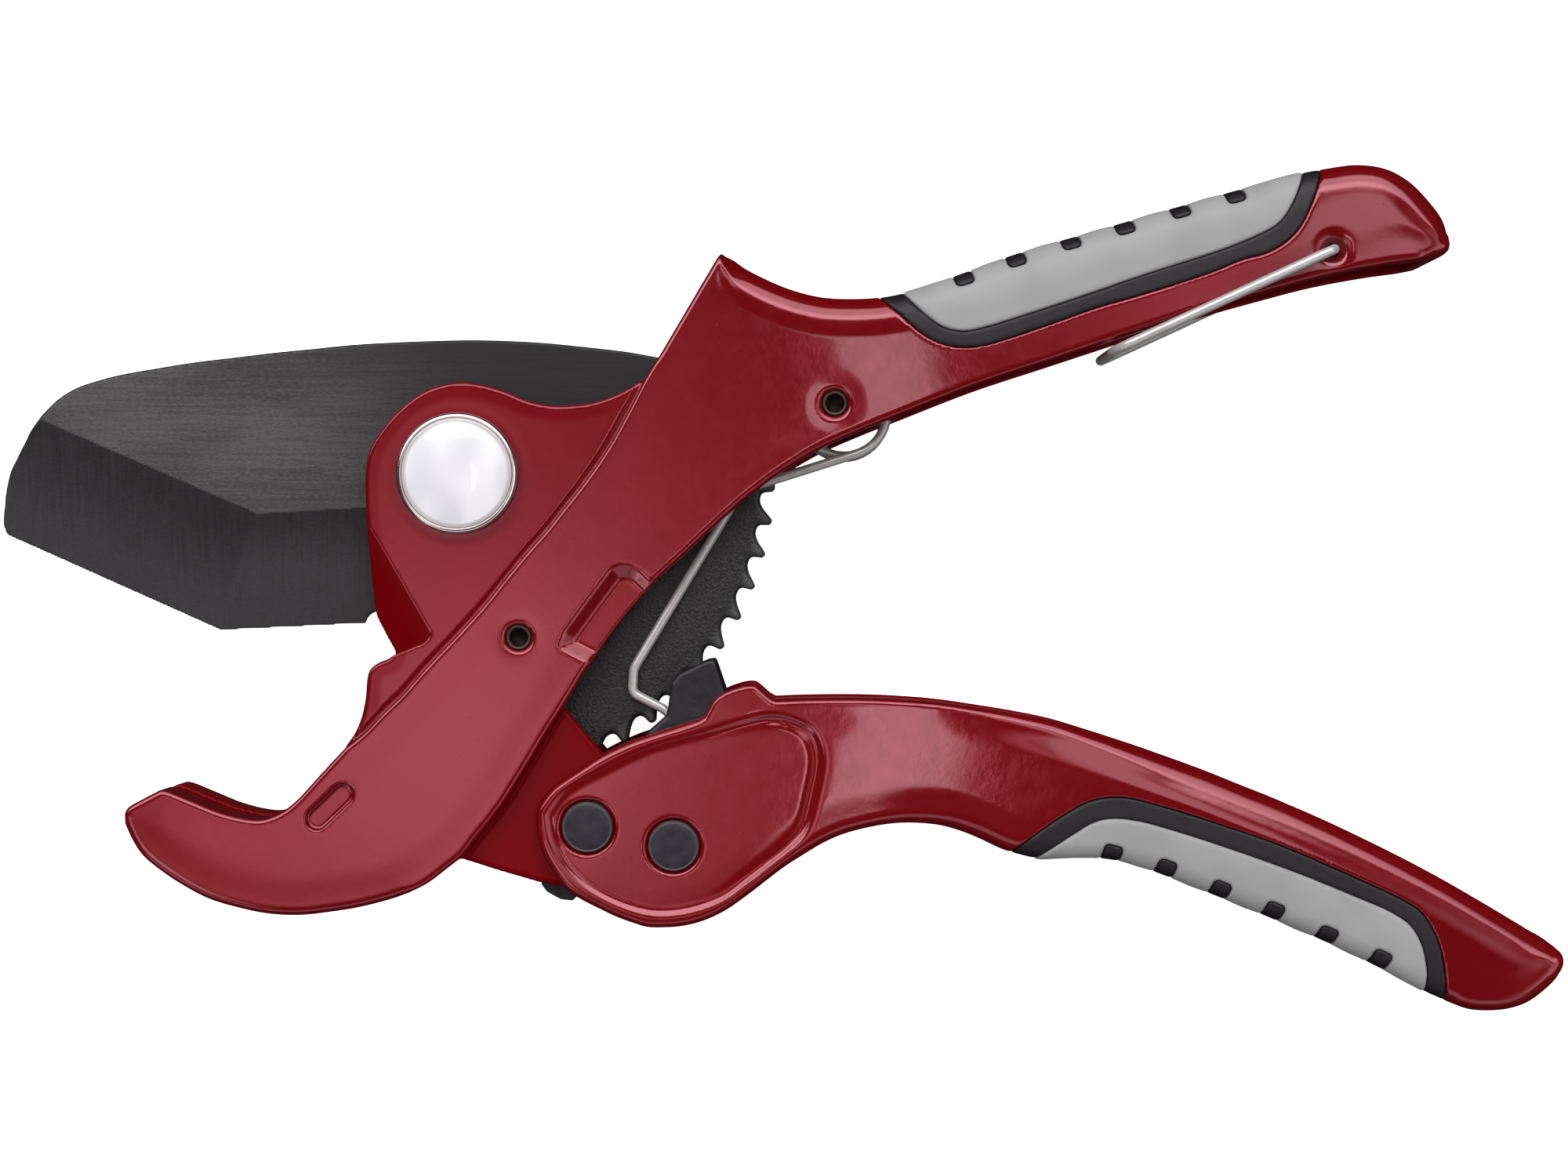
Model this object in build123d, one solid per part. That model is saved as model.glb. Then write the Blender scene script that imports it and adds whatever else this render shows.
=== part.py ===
from build123d import *
import os
from math import sin, cos, radians, degrees, atan2, hypot

# Ratchet cutter for plastic pipe, with the blade open. Millimetres and degrees.
# Frame: origin on the blade pivot axis at mid thickness, the tool lies flat.
# +X runs towards the handles, +Y towards the upper handle, +Z out of the front
# cheek. Blade, sector and pawls lie symmetric about the plane z = 0.
# Names ending in _HALF are half thicknesses or half widths along Z, in _R radii.

# ---------------------------------------------------------------- dimensions
# Castings
BAND_HALF = 9.5          # raised band and hook
BOSS_HALF = 8.0          # pivot boss
HANDLE_HALF = 10.0       # both handles
LUG_HALF = 6.0           # lug for the lower handle
SLOT_HALF = 3.2          # slot for blade and sector
HOOK_SLOT_HALF = 1.9     # blade slot in the hook
SPRING_SLOT_HALF = 4.9   # cavity of the return spring
LUG_SLOT_HALF = 3.0      # slot of the holding pawl
UP_CHANNEL_HALF = 6.5    # channel in the upper handle
LOW_CHANNEL_HALF = 6.2   # channel in the lower handle
WALL = 3.2               # web thickness of the channels
OUTSIDE = 12.0           # z beyond every casting, where cuts end

# Axes parallel to Z
PIVOT = (0, 0)
HANDLE_PIVOT = (20.32, -55.18)
PAWL_PIVOT = (33.77, -58.11)
STOP_PIN = (9.58, -25.60)
SPRING_PIN = (58.94, 10.93)
COIL_AXIS = (60.53, 9.71)
BAIL_PIVOT = (136.66, 34.81)
DOWELS = [(14.5, 2.0), (25.0, 6.5)]
SPRING_HOOK = (36.3, -41.2)   # where the return spring enters the drive pawl

# Blade and sector
BLADE_HALF = 1.5
BLADE_REACH = 73.85      # largest radius of the blade
CLOSING_TURN = 50.0      # turn that closes the blade
EDGE_LAND = 0.06         # half thickness left at the cutting edge
SECTOR_HALF = 2.75
TIP_R = 49.60            # over the teeth
ROOT_R = 47.35           # at the tooth roots
PITCH = 6.25             # degrees per tooth
TEETH = 13
FIRST_TIP = -2.2         # angle of the first tooth tip
SECTOR_IN_R = 32.5       # inside of the toothed arc
SWEEP_R = 50.5           # slot round the teeth

# Pins, rivets and clearances
BUSH_R = 5.0
BOLT_R = 4.0
BOLT_CLEAR = 0.03
PIN_HOLE_R = 2.0
DOWEL_HOLE_R = 2.0
RIVET_R = 3.0
RIVET_HEAD_R = 3.95
RIVET_SEAT = 0.9         # depth of the seats for the rivet heads
RUN = 0.05               # radial running clearance
GAP = 0.05               # end clearance of the bush

# Springs and bail, as wire radii and levels
SPRING_WIRE_R = 0.75
COIL_R = 6.7
LEG_Z = 3.75
BAIL_WIRE_R = 1.0
BAIL_Z = 11.35

# Grips
GRIP_DEPTH = 1.8         # depth of the grip recess
PAD_DEPTH = 0.9          # depth of the pad in the grip base
PAD_PROUD = 0.25
RIB_SIZE = (2.9, 4.4)

# ------------------------------------------------- outlines, as (x, y) points
BAND_TOP = [
    (41.09, 34.58), (43.05, 33.66), (44.88, 32.37), (47.94, 30.78), (51.00, 29.44),
    (54.06, 28.46), (57.36, 27.79), (61.64, 27.60), (66.29, 27.85), (69.35, 28.40),
    (75.46, 30.29), (81.58, 32.50), (87.70, 34.70), (99.93, 38.25), (112.16, 41.79),
    (124.39, 45.22), (130.51, 46.93), (136.01, 47.91), (141.03, 48.28), (145.31, 47.42),
    (148.73, 45.46), (151.67, 42.40), (153.87, 39.47), (154.73, 37.02)]
BAND_END = [(154.73, 37.02), (154.48, 35.19), (153.02, 34.21), (151.30, 33.72)]
BAND_LOW = [
    (151.30, 33.72), (145.31, 32.50), (136.75, 30.91), (128.18, 28.70), (118.28, 25.89),
    (106.04, 21.98), (93.81, 17.94), (81.58, 13.90), (69.35, 9.13), (63.23, 6.69),
    (57.12, 4.00), (51.00, 0.45), (45.37, -3.71), (40.11, -8.36), (36.08, -12.15),
    (31.06, -16.80), (26.66, -21.57), (22.87, -26.58), (19.69, -31.36), (16.87, -36.00),
    (13.57, -41.26), (11.25, -45.18), (9.29, -48.36), (7.45, -51.29), (5.37, -54.11),
    (3.05, -56.92), (1.09, -59.49), (-1.72, -61.81), (-4.66, -64.02), (-7.47, -65.48)]
HOOK_LOW = [
    (-7.47, -65.48), (-10.16, -66.46), (-15.42, -67.81), (-19.95, -68.54), (-24.72, -69.03),
    (-29.73, -68.79), (-34.50, -67.81), (-38.91, -66.46), (-42.70, -64.50), (-46.25, -62.18),
    (-49.30, -59.61), (-50.89, -57.17), (-51.99, -54.72)]
HOOK_TIP = [(-51.99, -54.72), (-51.99, -53.01)]
HOOK_NOSE = [(-51.99, -53.01), (-51.38, -52.15), (-49.30, -50.93), (-46.25, -49.34)]
HOOK_TOP = [
    (-46.25, -49.34), (-45.39, -49.46), (-41.11, -51.17), (-37.19, -52.76), (-33.40, -53.74),
    (-30.71, -53.98), (-28.51, -53.37), (-26.92, -52.52), (-25.21, -51.17), (-20.92, -46.52),
    (-17.62, -42.98)]
BAND_LEFT = [
    (-17.62, -42.98), (-14.44, -40.41), (-11.38, -37.23), (-8.57, -34.54), (-6.12, -31.72),
    (-3.31, -28.66), (-0.25, -25.48), (4.15, -20.59), (7.58, -16.31), (11.12, -12.03),
    (13.94, -8.85), (16.63, -5.42), (19.44, -1.88), (22.01, 1.67), (23.84, 4.48),
    (25.56, 7.54), (27.64, 11.46), (29.47, 15.00), (31.43, 18.18)]
BAND_BACK = [(31.43, 18.18), (41.09, 34.58)]

BOSS_RIM = [
    (31.97, 18.32), (31.36, 16.97), (28.66, 14.63), (24.36, 12.30), (20.43, 11.07),
    (14.91, 10.70), (10.98, 11.44), (7.05, 13.04), (2.75, 14.14), (-0.69, 14.27),
    (-5.10, 13.04), (-8.91, 10.34), (-12.10, 6.78), (-14.07, 3.22), (-14.56, -0.59),
    (-14.31, -8.45), (-13.70, -18.27), (-13.33, -21.83), (-12.10, -24.53), (-10.32, -27.84)]
BOSS_NOTCH = [
    (-10.32, -27.84), (-10.51, -28.70), (-12.66, -29.69), (-13.88, -30.74), (-14.31, -32.39),
    (-14.50, -34.84), (-15.10, -37.87), (-16.15, -40.49), (-17.75, -42.82)]

BLADE_TOP = [
    (31.05, 18.76), (26.06, 19.64), (19.82, 20.38), (13.59, 21.01), (7.35, 21.38),
    (1.12, 21.51), (-5.12, 21.38), (-11.35, 21.13), (-17.59, 20.76), (-23.82, 20.13),
    (-30.06, 19.51), (-36.29, 18.76), (-42.53, 18.01), (-48.76, 17.02), (-55.00, 15.89),
    (-58.24, 15.02), (-61.23, 14.02), (-64.35, 12.15), (-67.02, 9.53)]
BLADE_TIP = [
    (-67.02, 9.53), (-68.71, 7.17), (-69.84, 5.05), (-71.08, 2.68), (-72.08, 0.68),
    (-72.83, -2.19), (-73.25, -5.43), (-73.43, -7.67), (-72.87, -9.42)]
BLADE_CORNER = (-38.79, -24.63)   # inner end of the cutting edge
BLADE_HEEL = (-14.28, -23.45)
BLADE_NECK = (-12.6, -20.6)
TANG_LOW = [
    BLADE_NECK, (-8.0, -17.2), (0.0, -16.0), (9.0, -12.5), (17.0, -6.5), (26.5, 0.5),
    (34.5, 9.5)]
TANG_END = [(34.5, 9.5), (35.9, 13.0), (34.6, 16.6), (31.05, 18.76)]
# Corners of the upper line of the bevels
BEVEL_TIP = (-66.88, 8.75)
BEVEL_MID = (-32.70, -6.12)
BEVEL_HEEL = (-15.72, -5.17)

LOW_NECK = [
    (12.22, -54.72), (12.40, -52.39), (13.57, -50.44), (14.98, -48.85), (17.08, -47.38),
    (19.65, -45.67), (22.50, -43.83), (26.54, -41.88), (29.23, -40.90), (34.49, -39.25),
    (38.40, -37.96)]
LOW_BUMP = [
    (38.40, -37.96), (39.13, -36.98), (39.99, -35.39), (41.58, -34.17), (43.42, -33.43),
    (45.01, -33.01), (46.47, -33.01), (47.82, -34.05), (48.80, -34.90), (49.65, -35.39)]
LOW_TOP = [
    (49.65, -35.39), (54.06, -35.21), (63.23, -35.15), (69.35, -35.39), (75.46, -35.88),
    (81.58, -36.74), (87.70, -37.72), (93.81, -38.94), (99.93, -40.77), (106.04, -42.73),
    (112.16, -44.81), (118.28, -47.01), (124.39, -49.46), (130.51, -51.91), (136.62, -54.60),
    (142.74, -57.53), (148.86, -60.59), (154.97, -63.89), (161.09, -67.44), (167.21, -71.11),
    (170.26, -72.94), (171.85, -74.17)]
LOW_END = [
    (171.85, -74.17), (172.83, -75.27), (173.08, -76.61), (172.10, -78.69), (170.26, -80.65),
    (167.21, -82.85), (164.15, -83.83), (161.09, -84.08), (158.03, -83.83), (154.97, -82.73)]
LOW_SPINE = [
    (154.97, -82.73), (151.92, -81.38), (148.86, -79.79), (142.74, -76.61), (136.62, -73.68),
    (130.51, -70.99), (124.39, -68.42), (118.28, -65.97), (112.16, -63.53), (106.04, -61.32),
    (102.99, -60.59), (99.93, -60.22), (96.87, -60.10), (93.81, -60.22), (90.75, -60.30),
    (86.72, -59.37), (84.64, -58.63), (81.58, -57.17), (78.52, -55.94), (75.46, -55.09),
    (72.41, -54.72), (69.35, -54.66), (66.29, -54.96), (63.23, -55.57), (60.17, -56.43),
    (57.12, -57.78), (54.06, -59.61), (51.00, -61.57), (47.94, -63.89), (44.88, -66.22),
    (41.83, -68.30), (38.77, -69.76), (35.71, -70.62), (32.65, -70.93), (29.59, -70.87),
    (27.88, -70.38), (24.82, -69.28), (22.25, -68.05), (19.81, -66.83), (17.97, -65.73),
    (16.63, -64.63), (14.98, -62.42), (13.45, -59.86), (12.59, -57.53), (12.22, -54.72)]

# Grips: border of the base, border of the pad, and the rib marks
UP_BORDER = [
    (66.13, 27.37), (69.55, 24.32), (72.48, 21.76), (75.53, 20.17), (78.94, 19.56),
    (82.36, 19.93), (86.14, 21.03), (92.61, 23.22), (99.81, 25.78), (106.52, 27.74),
    (117.26, 31.15), (122.38, 33.23), (126.29, 34.33), (129.22, 36.03), (131.41, 38.35),
    (133.49, 42.62), (135.20, 47.75)]
UP_PAD = [
    (69.91, 27.86), (71.62, 26.03), (73.82, 24.08), (75.89, 22.73), (78.94, 22.12),
    (81.87, 22.61), (88.34, 24.56), (99.81, 28.35), (106.52, 30.67), (119.33, 34.81),
    (124.46, 36.89), (128.00, 38.84), (130.07, 41.65), (132.39, 47.14)]
UP_RIBS = [
    (79.13, 30.78), (87.33, 33.72), (95.89, 36.41), (104.33, 38.73), (113.02, 41.30),
    (121.58, 43.63)]
UP_RIB_SHIFT = (-0.42, 1.30)   # from a mark to the centre of its rib
UP_RIB_ANGLES = [15.9] * len(UP_RIBS)
LOW_BORDER = [
    (86.51, -59.14), (90.78, -55.85), (94.93, -53.04), (98.96, -50.97), (103.71, -50.48),
    (109.57, -51.82), (119.46, -54.87), (128.24, -57.92), (139.83, -62.93), (147.40, -66.47),
    (150.33, -68.42), (152.40, -71.71), (153.62, -75.50), (154.48, -82.45)]
LOW_PAD = [
    (89.93, -60.36), (96.15, -56.22), (98.96, -54.51), (101.88, -53.77), (106.03, -54.14),
    (112.38, -55.85), (122.38, -59.14), (131.17, -62.32), (139.83, -65.86), (145.69, -68.42),
    (148.62, -70.49), (150.33, -73.42), (151.18, -77.20), (151.30, -81.11)]
LOW_RIBS = [
    (102.38, -59.37), (110.69, -61.69), (119.13, -64.99), (127.45, -68.30), (135.77, -72.09),
    (144.09, -75.76)]
LOW_RIB_SHIFT = (-0.55, -1.35)
LOW_RIB_ANGLES = [-14.0, -20.0, -21.5, -22.5, -24.0, -25.0]


# ------------------------------------------------------------ plane geometry
def polar(radius, angle):
    return (radius * cos(radians(angle)), radius * sin(radians(angle)))


def polar_arc(radius, start, stop, steps):
    return [polar(radius, start + (stop - start) * i / steps) for i in range(steps + 1)]


def points_about(centre, radius, angles):
    return [(centre[0] + radius * cos(radians(a)), centre[1] + radius * sin(radians(a)))
            for a in angles]


def turn(point, centre, angle):
    sine, cosine = sin(radians(angle)), cos(radians(angle))
    x, y = point[0] - centre[0], point[1] - centre[1]
    return (centre[0] + cosine * x - sine * y, centre[1] + sine * x + cosine * y)


def direction(start, stop):
    """Unit direction from start to stop, and the distance."""
    x, y = stop[0] - start[0], stop[1] - start[1]
    length = hypot(x, y)
    return x / length, y / length, length


def offset_run(run, distance):
    """The run moved to its left by the distance."""
    moved = []
    for i, (x, y) in enumerate(run):
        along_x, along_y, _ = direction(run[max(i - 1, 0)], run[min(i + 1, len(run) - 1)])
        moved.append((x - along_y * distance, y + along_x * distance))
    return moved


def between_x(run, low, high):
    return [p for p in run if low < p[0] < high]


# -------------------------------------------------------------- solid helpers
def region(*runs):
    """Face bounded by runs of points; a run of two is a line, more a smooth curve."""
    edges = []
    for run in runs:
        points = [Vector(*p) for p in run]
        edges.append(Edge.make_line(*points) if len(points) == 2 else Edge.make_spline(points))
    return Face(Wire(edges))


def poly(points):
    return Face(Wire.make_polygon([Vector(*p) for p in points], close=True))


def layer(face, z0, z1):
    """Prism of a face from z0 to z1."""
    return Solid.extrude(face.moved(Location((0, 0, z0))), Vector(0, 0, z1 - z0))


def slab(face, half):
    return layer(face, -half, half)


def rod(centre, radius, z0, z1):
    return Solid.make_cylinder(radius, z1 - z0, Plane(origin=(centre[0], centre[1], z0)))


def mid_rod(centre, radius, half):
    return rod(centre, radius, -half, half)


def box_on_axis(length, width, height, z0):
    """Box centred on the Z axis, standing on z0."""
    return Solid.make_box(length, width, height, Plane(origin=(-length / 2, -width / 2, z0)))


def largest(shape):
    return max(shape.solids(), key=lambda solid: solid.volume)


def export(part, name):
    part.label = name
    export_step(part, f"parts/{name}.step")


def save(shape, name):
    export(largest(shape), name)


def save_group(solids, name):
    export(Compound(children=solids), name)


def wire_path(points, radius):
    """Round wire along a polyline with ball joints at its corners."""
    wire = None
    for start, stop in zip(points[:-1], points[1:]):
        start, stop = Vector(*start), Vector(*stop)
        span = stop - start
        piece = Solid.make_cylinder(radius, span.length, Plane(origin=start, z_dir=span))
        wire = piece if wire is None else wire + piece
    for point in points[1:-1]:
        wire = wire + Solid.make_sphere(radius, Plane(origin=point))
    return wire


def wind_coil(pitch, height, coil_r, wire_r, lefthand=False):
    """Coil round +Z from z = 0, and its helix."""
    helix = Wire([Edge.make_helix(pitch, height, coil_r, center=Vector(0, 0, 0),
                                  normal=Vector(0, 0, 1), lefthand=lefthand)])
    start = Plane(origin=helix.position_at(0), z_dir=helix.tangent_at(0))
    return Solid.sweep(Face(Wire.make_circle(wire_r, start)), helix), helix


# --------------------------------------------------------------------- grips
def grip_zone(border, lift):
    """Prism over the border line, carried past the spine by lift."""
    first, last = border[0], border[-1]
    far_first = (first[0] + lift[0], first[1] + lift[1])
    far_last = (last[0] + lift[0], last[1] + lift[1])
    return slab(region(border, [last, far_last], [far_last, far_first], [far_first, first]), 20)


def grip_core(spine, depth, x_range, floor):
    """What is left of the handle inside a recess of this depth."""
    inner = between_x(offset_run(spine, -depth), *x_range)
    return slab(poly(inner + floor), HANDLE_HALF - depth)


def grip_ribs(marks, shift, angles):
    ribs = None
    for mark, angle in zip(marks, angles):
        place = Location((mark[0] + shift[0], mark[1] + shift[1], 0), (0, 0, angle))
        rib = box_on_axis(*RIB_SIZE, 2 * HANDLE_HALF, -HANDLE_HALF).moved(place)
        ribs = rib if ribs is None else ribs + rib
    return ribs


def fit_grip(casting, outer, spine, border, pad_border, x_range, floor, lift, ribs):
    """Recess the spine and flanks inside the border; return casting, base and pad."""
    core = grip_core(spine, GRIP_DEPTH, x_range, floor)
    pad_core = grip_core(spine, PAD_DEPTH, x_range, floor)
    zone = grip_zone(border, lift)
    pad_zone = grip_zone(pad_border, lift)
    casting = largest(casting - (zone - core))
    base = (slab(outer, HANDLE_HALF) & zone) - core
    pad_room = pad_zone - pad_core
    base_ribs = base & ribs
    pad = (slab(outer, HANDLE_HALF + PAD_PROUD) & pad_room) - ribs
    base = (base - pad_room) + base_ribs
    return casting, largest(base), largest(pad)


# -------------------------------------------------------------- body casting
LUG_END_R = 7.4
NUT_RECESS_R = 8.4
NUT_RECESS_Z = -6.0
# Line where the boss facets start, and their fall away from it
FACET_START = (-13.62, -8.46)
FACET_STOP = (-4.06, -25.13)
FACET_FALL_DIR = (-0.868, -0.497)
FACET_RUN = 16               # length of the cutting wedge down the fall
FACET_DROP = 8.0             # drop over that length
FACET_LEAD = 10              # wedge length before the start of the line
FACET_LENGTH = 45
FACET_ZONE = [
    FACET_START, (-10.80, -12.38), (-6.88, -19.00), (-4.18, -24.52), FACET_STOP,
    (-5.40, -26.48), (-10.43, -28.57), (-20.0, -30.0), (-20.0, -8.46)]
BUMP_POCKET = [
    (15.9, -26.6), (18.0, -22.8), (24.4, -14.7), (26.6, -14.5), (33.0, -20.0), (24.0, -32.0),
    (19.6, -29.4), (16.9, -28.1)]
SPRING_ROOM = [
    (73.0, 4.0), (50.0, -9.0), (30.0, -30.0), (16.0, -48.0), (3.5, -47.0), (4.0, -38.0),
    (10.0, -28.0), (23.0, -9.0), (38.0, 6.0), (44.0, 20.0), (55.0, 23.6), (66.0, 23.9),
    (70.0, 23.9)]
LUG_SLOT = [(8.0, -49.3), (45.0, -36.0), (45.0, -75.0), (8.0, -75.0)]
UP_HANDLE_ZONE = [(67.5, -5), (67.5, 60), (180, 60), (180, -5)]


def body_blank(band):
    boss = region(BOSS_RIM, BOSS_NOTCH, [(-17.75, -42.82), (-17.0, -44.5)],
                  [(-17.0, -44.5), (6.0, -30.0)], [(6.0, -30.0), (31.97, 18.32)])
    lug = poly([(4.0, -34.0), (14.04, -33.92), (16.75, -36.75), (19.58, -40.33),
                (22.41, -43.65), (24.4, -47.0)]
               + points_about(HANDLE_PIVOT, LUG_END_R, range(50, -101, -15))
               + [(18.35, -65.40), (12.31, -64.17), (6.15, -62.38), (0.73, -60.66),
                  (-8.0, -58.0)])
    blank = slab(band, BAND_HALF) + slab(boss, BOSS_HALF) + slab(lug, LUG_HALF)
    return blank + slab((band & poly(UP_HANDLE_ZONE)).faces()[0], HANDLE_HALF)


def hook_slot():
    """Blade slot in the hook, down to just past the closed edge."""
    corner = turn(BLADE_CORNER, PIVOT, CLOSING_TURN)
    return slab(poly([(-80, -20), (-80, -54.6)]
                     + polar_arc(BLADE_REACH + 0.4, 227.4, 238.0, 8)
                     + [(-39.0, -62.75), (corner[0], corner[1] - 1.15), (10.0, -38.0), (0, 0)]),
                HOOK_SLOT_HALF)


def upper_channel():
    """Channel under the spine web of the upper handle."""
    inner = between_x(offset_run(BAND_TOP, -WALL), 69.0, 151.4)
    inner = [p for p in inner if not (p[0] > 148 and p[1] < 36)]
    return slab(poly([(68.2, 24.0)] + inner
                     + [(151.2, 36.5), (150.4, 28.0), (120.0, 18.0), (68.2, -2.0)]),
                UP_CHANNEL_HALF)


def boss_facet(side):
    """Sloping relief for the pipe on one face of the boss, beside the blade."""
    along_x, along_y, _ = direction(FACET_START, FACET_STOP)
    x = FACET_START[0] - FACET_LEAD * along_x
    y = FACET_START[1] - FACET_LEAD * along_y
    low_x = x + FACET_FALL_DIR[0] * FACET_RUN
    low_y = y + FACET_FALL_DIR[1] * FACET_RUN
    outer_z = side * (BOSS_HALF + 4)
    profile = poly([(x, y, side * BOSS_HALF), (low_x, low_y, side * (BOSS_HALF - FACET_DROP)),
                    (low_x, low_y, outer_z), (x, y, outer_z)])
    wedge = Solid.extrude(profile, Vector(along_x * FACET_LENGTH, along_y * FACET_LENGTH, 0))
    z0, z1 = (2.0, 14.0) if side > 0 else (-14.0, -2.0)
    return wedge & layer(poly(FACET_ZONE), z0, z1)


def hook_recess():
    """Oblong recess of the hook's faces, standing on z = 0 at the pivot."""
    length, width, depth = 5.6, 3.4, 1.2
    recess = box_on_axis(length, width, depth, 0)
    for x in (-length / 2, length / 2):
        recess = recess + rod((x, 0), width / 2, 0, depth)
    return recess, depth


def cut_flared_bore(casting, centre, bore_r, mouth_r, flare, half):
    """Through bore with a conical mouth of depth flare on both faces."""
    casting -= mid_rod(centre, bore_r, OUTSIDE)
    for side in (1, -1):
        mouth = Plane(origin=(*centre, side * (half - flare)), z_dir=(0, 0, side))
        casting -= Solid.make_cone(bore_r, mouth_r, flare, mouth)
    return casting


def make_body(band):
    body = body_blank(band)
    body -= mid_rod(PIVOT, SWEEP_R, SLOT_HALF)
    body -= hook_slot()
    body -= slab(poly(SPRING_ROOM), SPRING_SLOT_HALF)
    body -= upper_channel()
    body -= slab(poly(LUG_SLOT), LUG_SLOT_HALF)
    for side in (1, -1):
        body -= boss_facet(side)
    # pockets that take the lower handle's bump
    for z0, z1 in ((7.5, OUTSIDE), (-OUTSIDE, -7.5)):
        body -= layer(poly(BUMP_POCKET), z0, z1)
    recess, depth = hook_recess()
    for z in (BAND_HALF - depth, -BAND_HALF):
        body -= recess.moved(Location((-19.86, -51.98, z), (0, 0, 43.9)))
    body -= mid_rod(PIVOT, BOLT_R + BOLT_CLEAR, OUTSIDE)
    body -= rod(PIVOT, NUT_RECESS_R, -OUTSIDE, NUT_RECESS_Z)
    for centre in (STOP_PIN, SPRING_PIN):
        body = cut_flared_bore(body, centre, PIN_HOLE_R, mouth_r=2.5, flare=0.5,
                               half=BAND_HALF)
    body -= mid_rod(HANDLE_PIVOT, RIVET_R + RUN, 8)
    body = cut_flared_bore(body, BAIL_PIVOT, BAIL_WIRE_R + RUN, mouth_r=1.75, flare=0.8,
                           half=HANDLE_HALF)
    return largest(body)


def save_body_and_grip():
    band = region(BAND_TOP, BAND_END, BAND_LOW, HOOK_LOW, HOOK_TIP, HOOK_NOSE, HOOK_TOP,
                  BAND_LEFT, BAND_BACK)
    body, base, pad = fit_grip(
        make_body(band), band, BAND_TOP, UP_BORDER, UP_PAD,
        x_range=(50.0, 147.0), floor=[(150.0, 10.0), (60.0, -20.0), (45.0, 10.0)],
        lift=(-3.0, 12.0), ribs=grip_ribs(UP_RIBS, UP_RIB_SHIFT, UP_RIB_ANGLES))
    save(body, "body_casting")
    save(base, "upper_grip_base")
    save(pad, "upper_grip_pad")


# -------------------------------------------------------------- lower handle
LOW_HANDLE_ZONE = [(57.0, -30), (57.0, -100), (190, -100), (190, -30)]


def make_lower_handle(outline):
    handle = slab(outline, BAND_HALF)
    handle = handle + slab((outline & poly(LOW_HANDLE_ZONE)).faces()[0], HANDLE_HALF)
    web = between_x(offset_run(LOW_SPINE, -WALL), 27.0, 153.0)
    end_wall = [(168.4, -72.9), (168.6, -75.6), (166.2, -78.4), (162.0, -80.3), (158.0, -80.2)]
    channel = poly([(30.0, -20.0), (100.0, -20.0), (178.0, -58.0), (169.6, -69.0)]
                   + end_wall + web
                   + [(24.0, -66.5), (23.4, -80.0), (0.0, -80.0), (0.0, -40.0)])
    handle -= slab(channel, LOW_CHANNEL_HALF)
    seat_r = RIVET_HEAD_R + 0.35
    seat_z = BAND_HALF - RIVET_SEAT
    for centre in (HANDLE_PIVOT, PAWL_PIVOT):
        handle -= mid_rod(centre, RIVET_R + 0.02, OUTSIDE)
        handle -= rod(centre, seat_r, seat_z, OUTSIDE)
        handle -= rod(centre, seat_r, -OUTSIDE, -seat_z)
    return largest(handle)


def save_lower_handle_and_grip():
    outline = region(LOW_NECK, LOW_BUMP, LOW_TOP, LOW_END, LOW_SPINE)
    handle, base, pad = fit_grip(
        make_lower_handle(outline), outline, LOW_SPINE, LOW_BORDER, LOW_PAD,
        x_range=(74.0, 160.0),
        floor=[(60.0, -50.0), (60.0, -20.0), (180.0, -40.0), (164.0, -80.0)],
        lift=(-2.0, -14.0), ribs=grip_ribs(LOW_RIBS, LOW_RIB_SHIFT, LOW_RIB_ANGLES))
    save(handle, "lower_handle")
    save(base, "lower_grip_base")
    save(pad, "lower_grip_pad")


# ------------------------------------------------------------ ratchet sector
# One tooth: (radius, degrees from the tip angle)
TOOTH = [
    (TIP_R, 0.30), (TIP_R, -0.25), (TIP_R - 0.35, -0.72), (ROOT_R + 0.55, -0.95),
    (ROOT_R + 0.12, -1.35), (ROOT_R, -1.9), (ROOT_R, -2.7), (ROOT_R + 0.22, -3.4),
    (ROOT_R + 0.75, -4.3), (ROOT_R + 1.45, -5.1)]
# Corners as (radius, angle): past the last tooth, then inside the toothed arc
SECTOR_TAIL = [
    (ROOT_R - 0.3, -79.3), (TIP_R - 4.0, -80.0), (SECTOR_IN_R + 2.0, -79.6),
    (SECTOR_IN_R + 0.3, -77.5)]
SECTOR_INNER = [
    (31.9, -35.6), (30.6, -33.2), (28.0, -32.4), (24.5, -33.4), (22.0, -38.0), (18.0, -50.0)]
SECTOR_HUB_R = 13.0
# (x, y) points from the hub back to the teeth
SECTOR_TOP = [
    (10.5, 9.3), (17.0, 8.7), (24.0, 10.0), (30.0, 12.6), (35.0, 13.6), (40.0, 12.6),
    (45.0, 10.0), (48.2, 7.6)]
TANG_ROOM = [
    (-30.0, -22.0), (-14.0, -22.0), (-8.0, -18.0), (0.0, -16.8), (9.3, -13.2), (17.4, -7.1),
    (26.9, 0.0), (35.1, 9.1), (38.0, 14.0), (33.0, 40.0), (-30.0, 40.0)]


def cut_hub_and_dowels(part, reach):
    part -= mid_rod(PIVOT, BUSH_R + RUN, reach)
    for centre in DOWELS:
        part -= mid_rod(centre, DOWEL_HOLE_R, reach)
    return part


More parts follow.
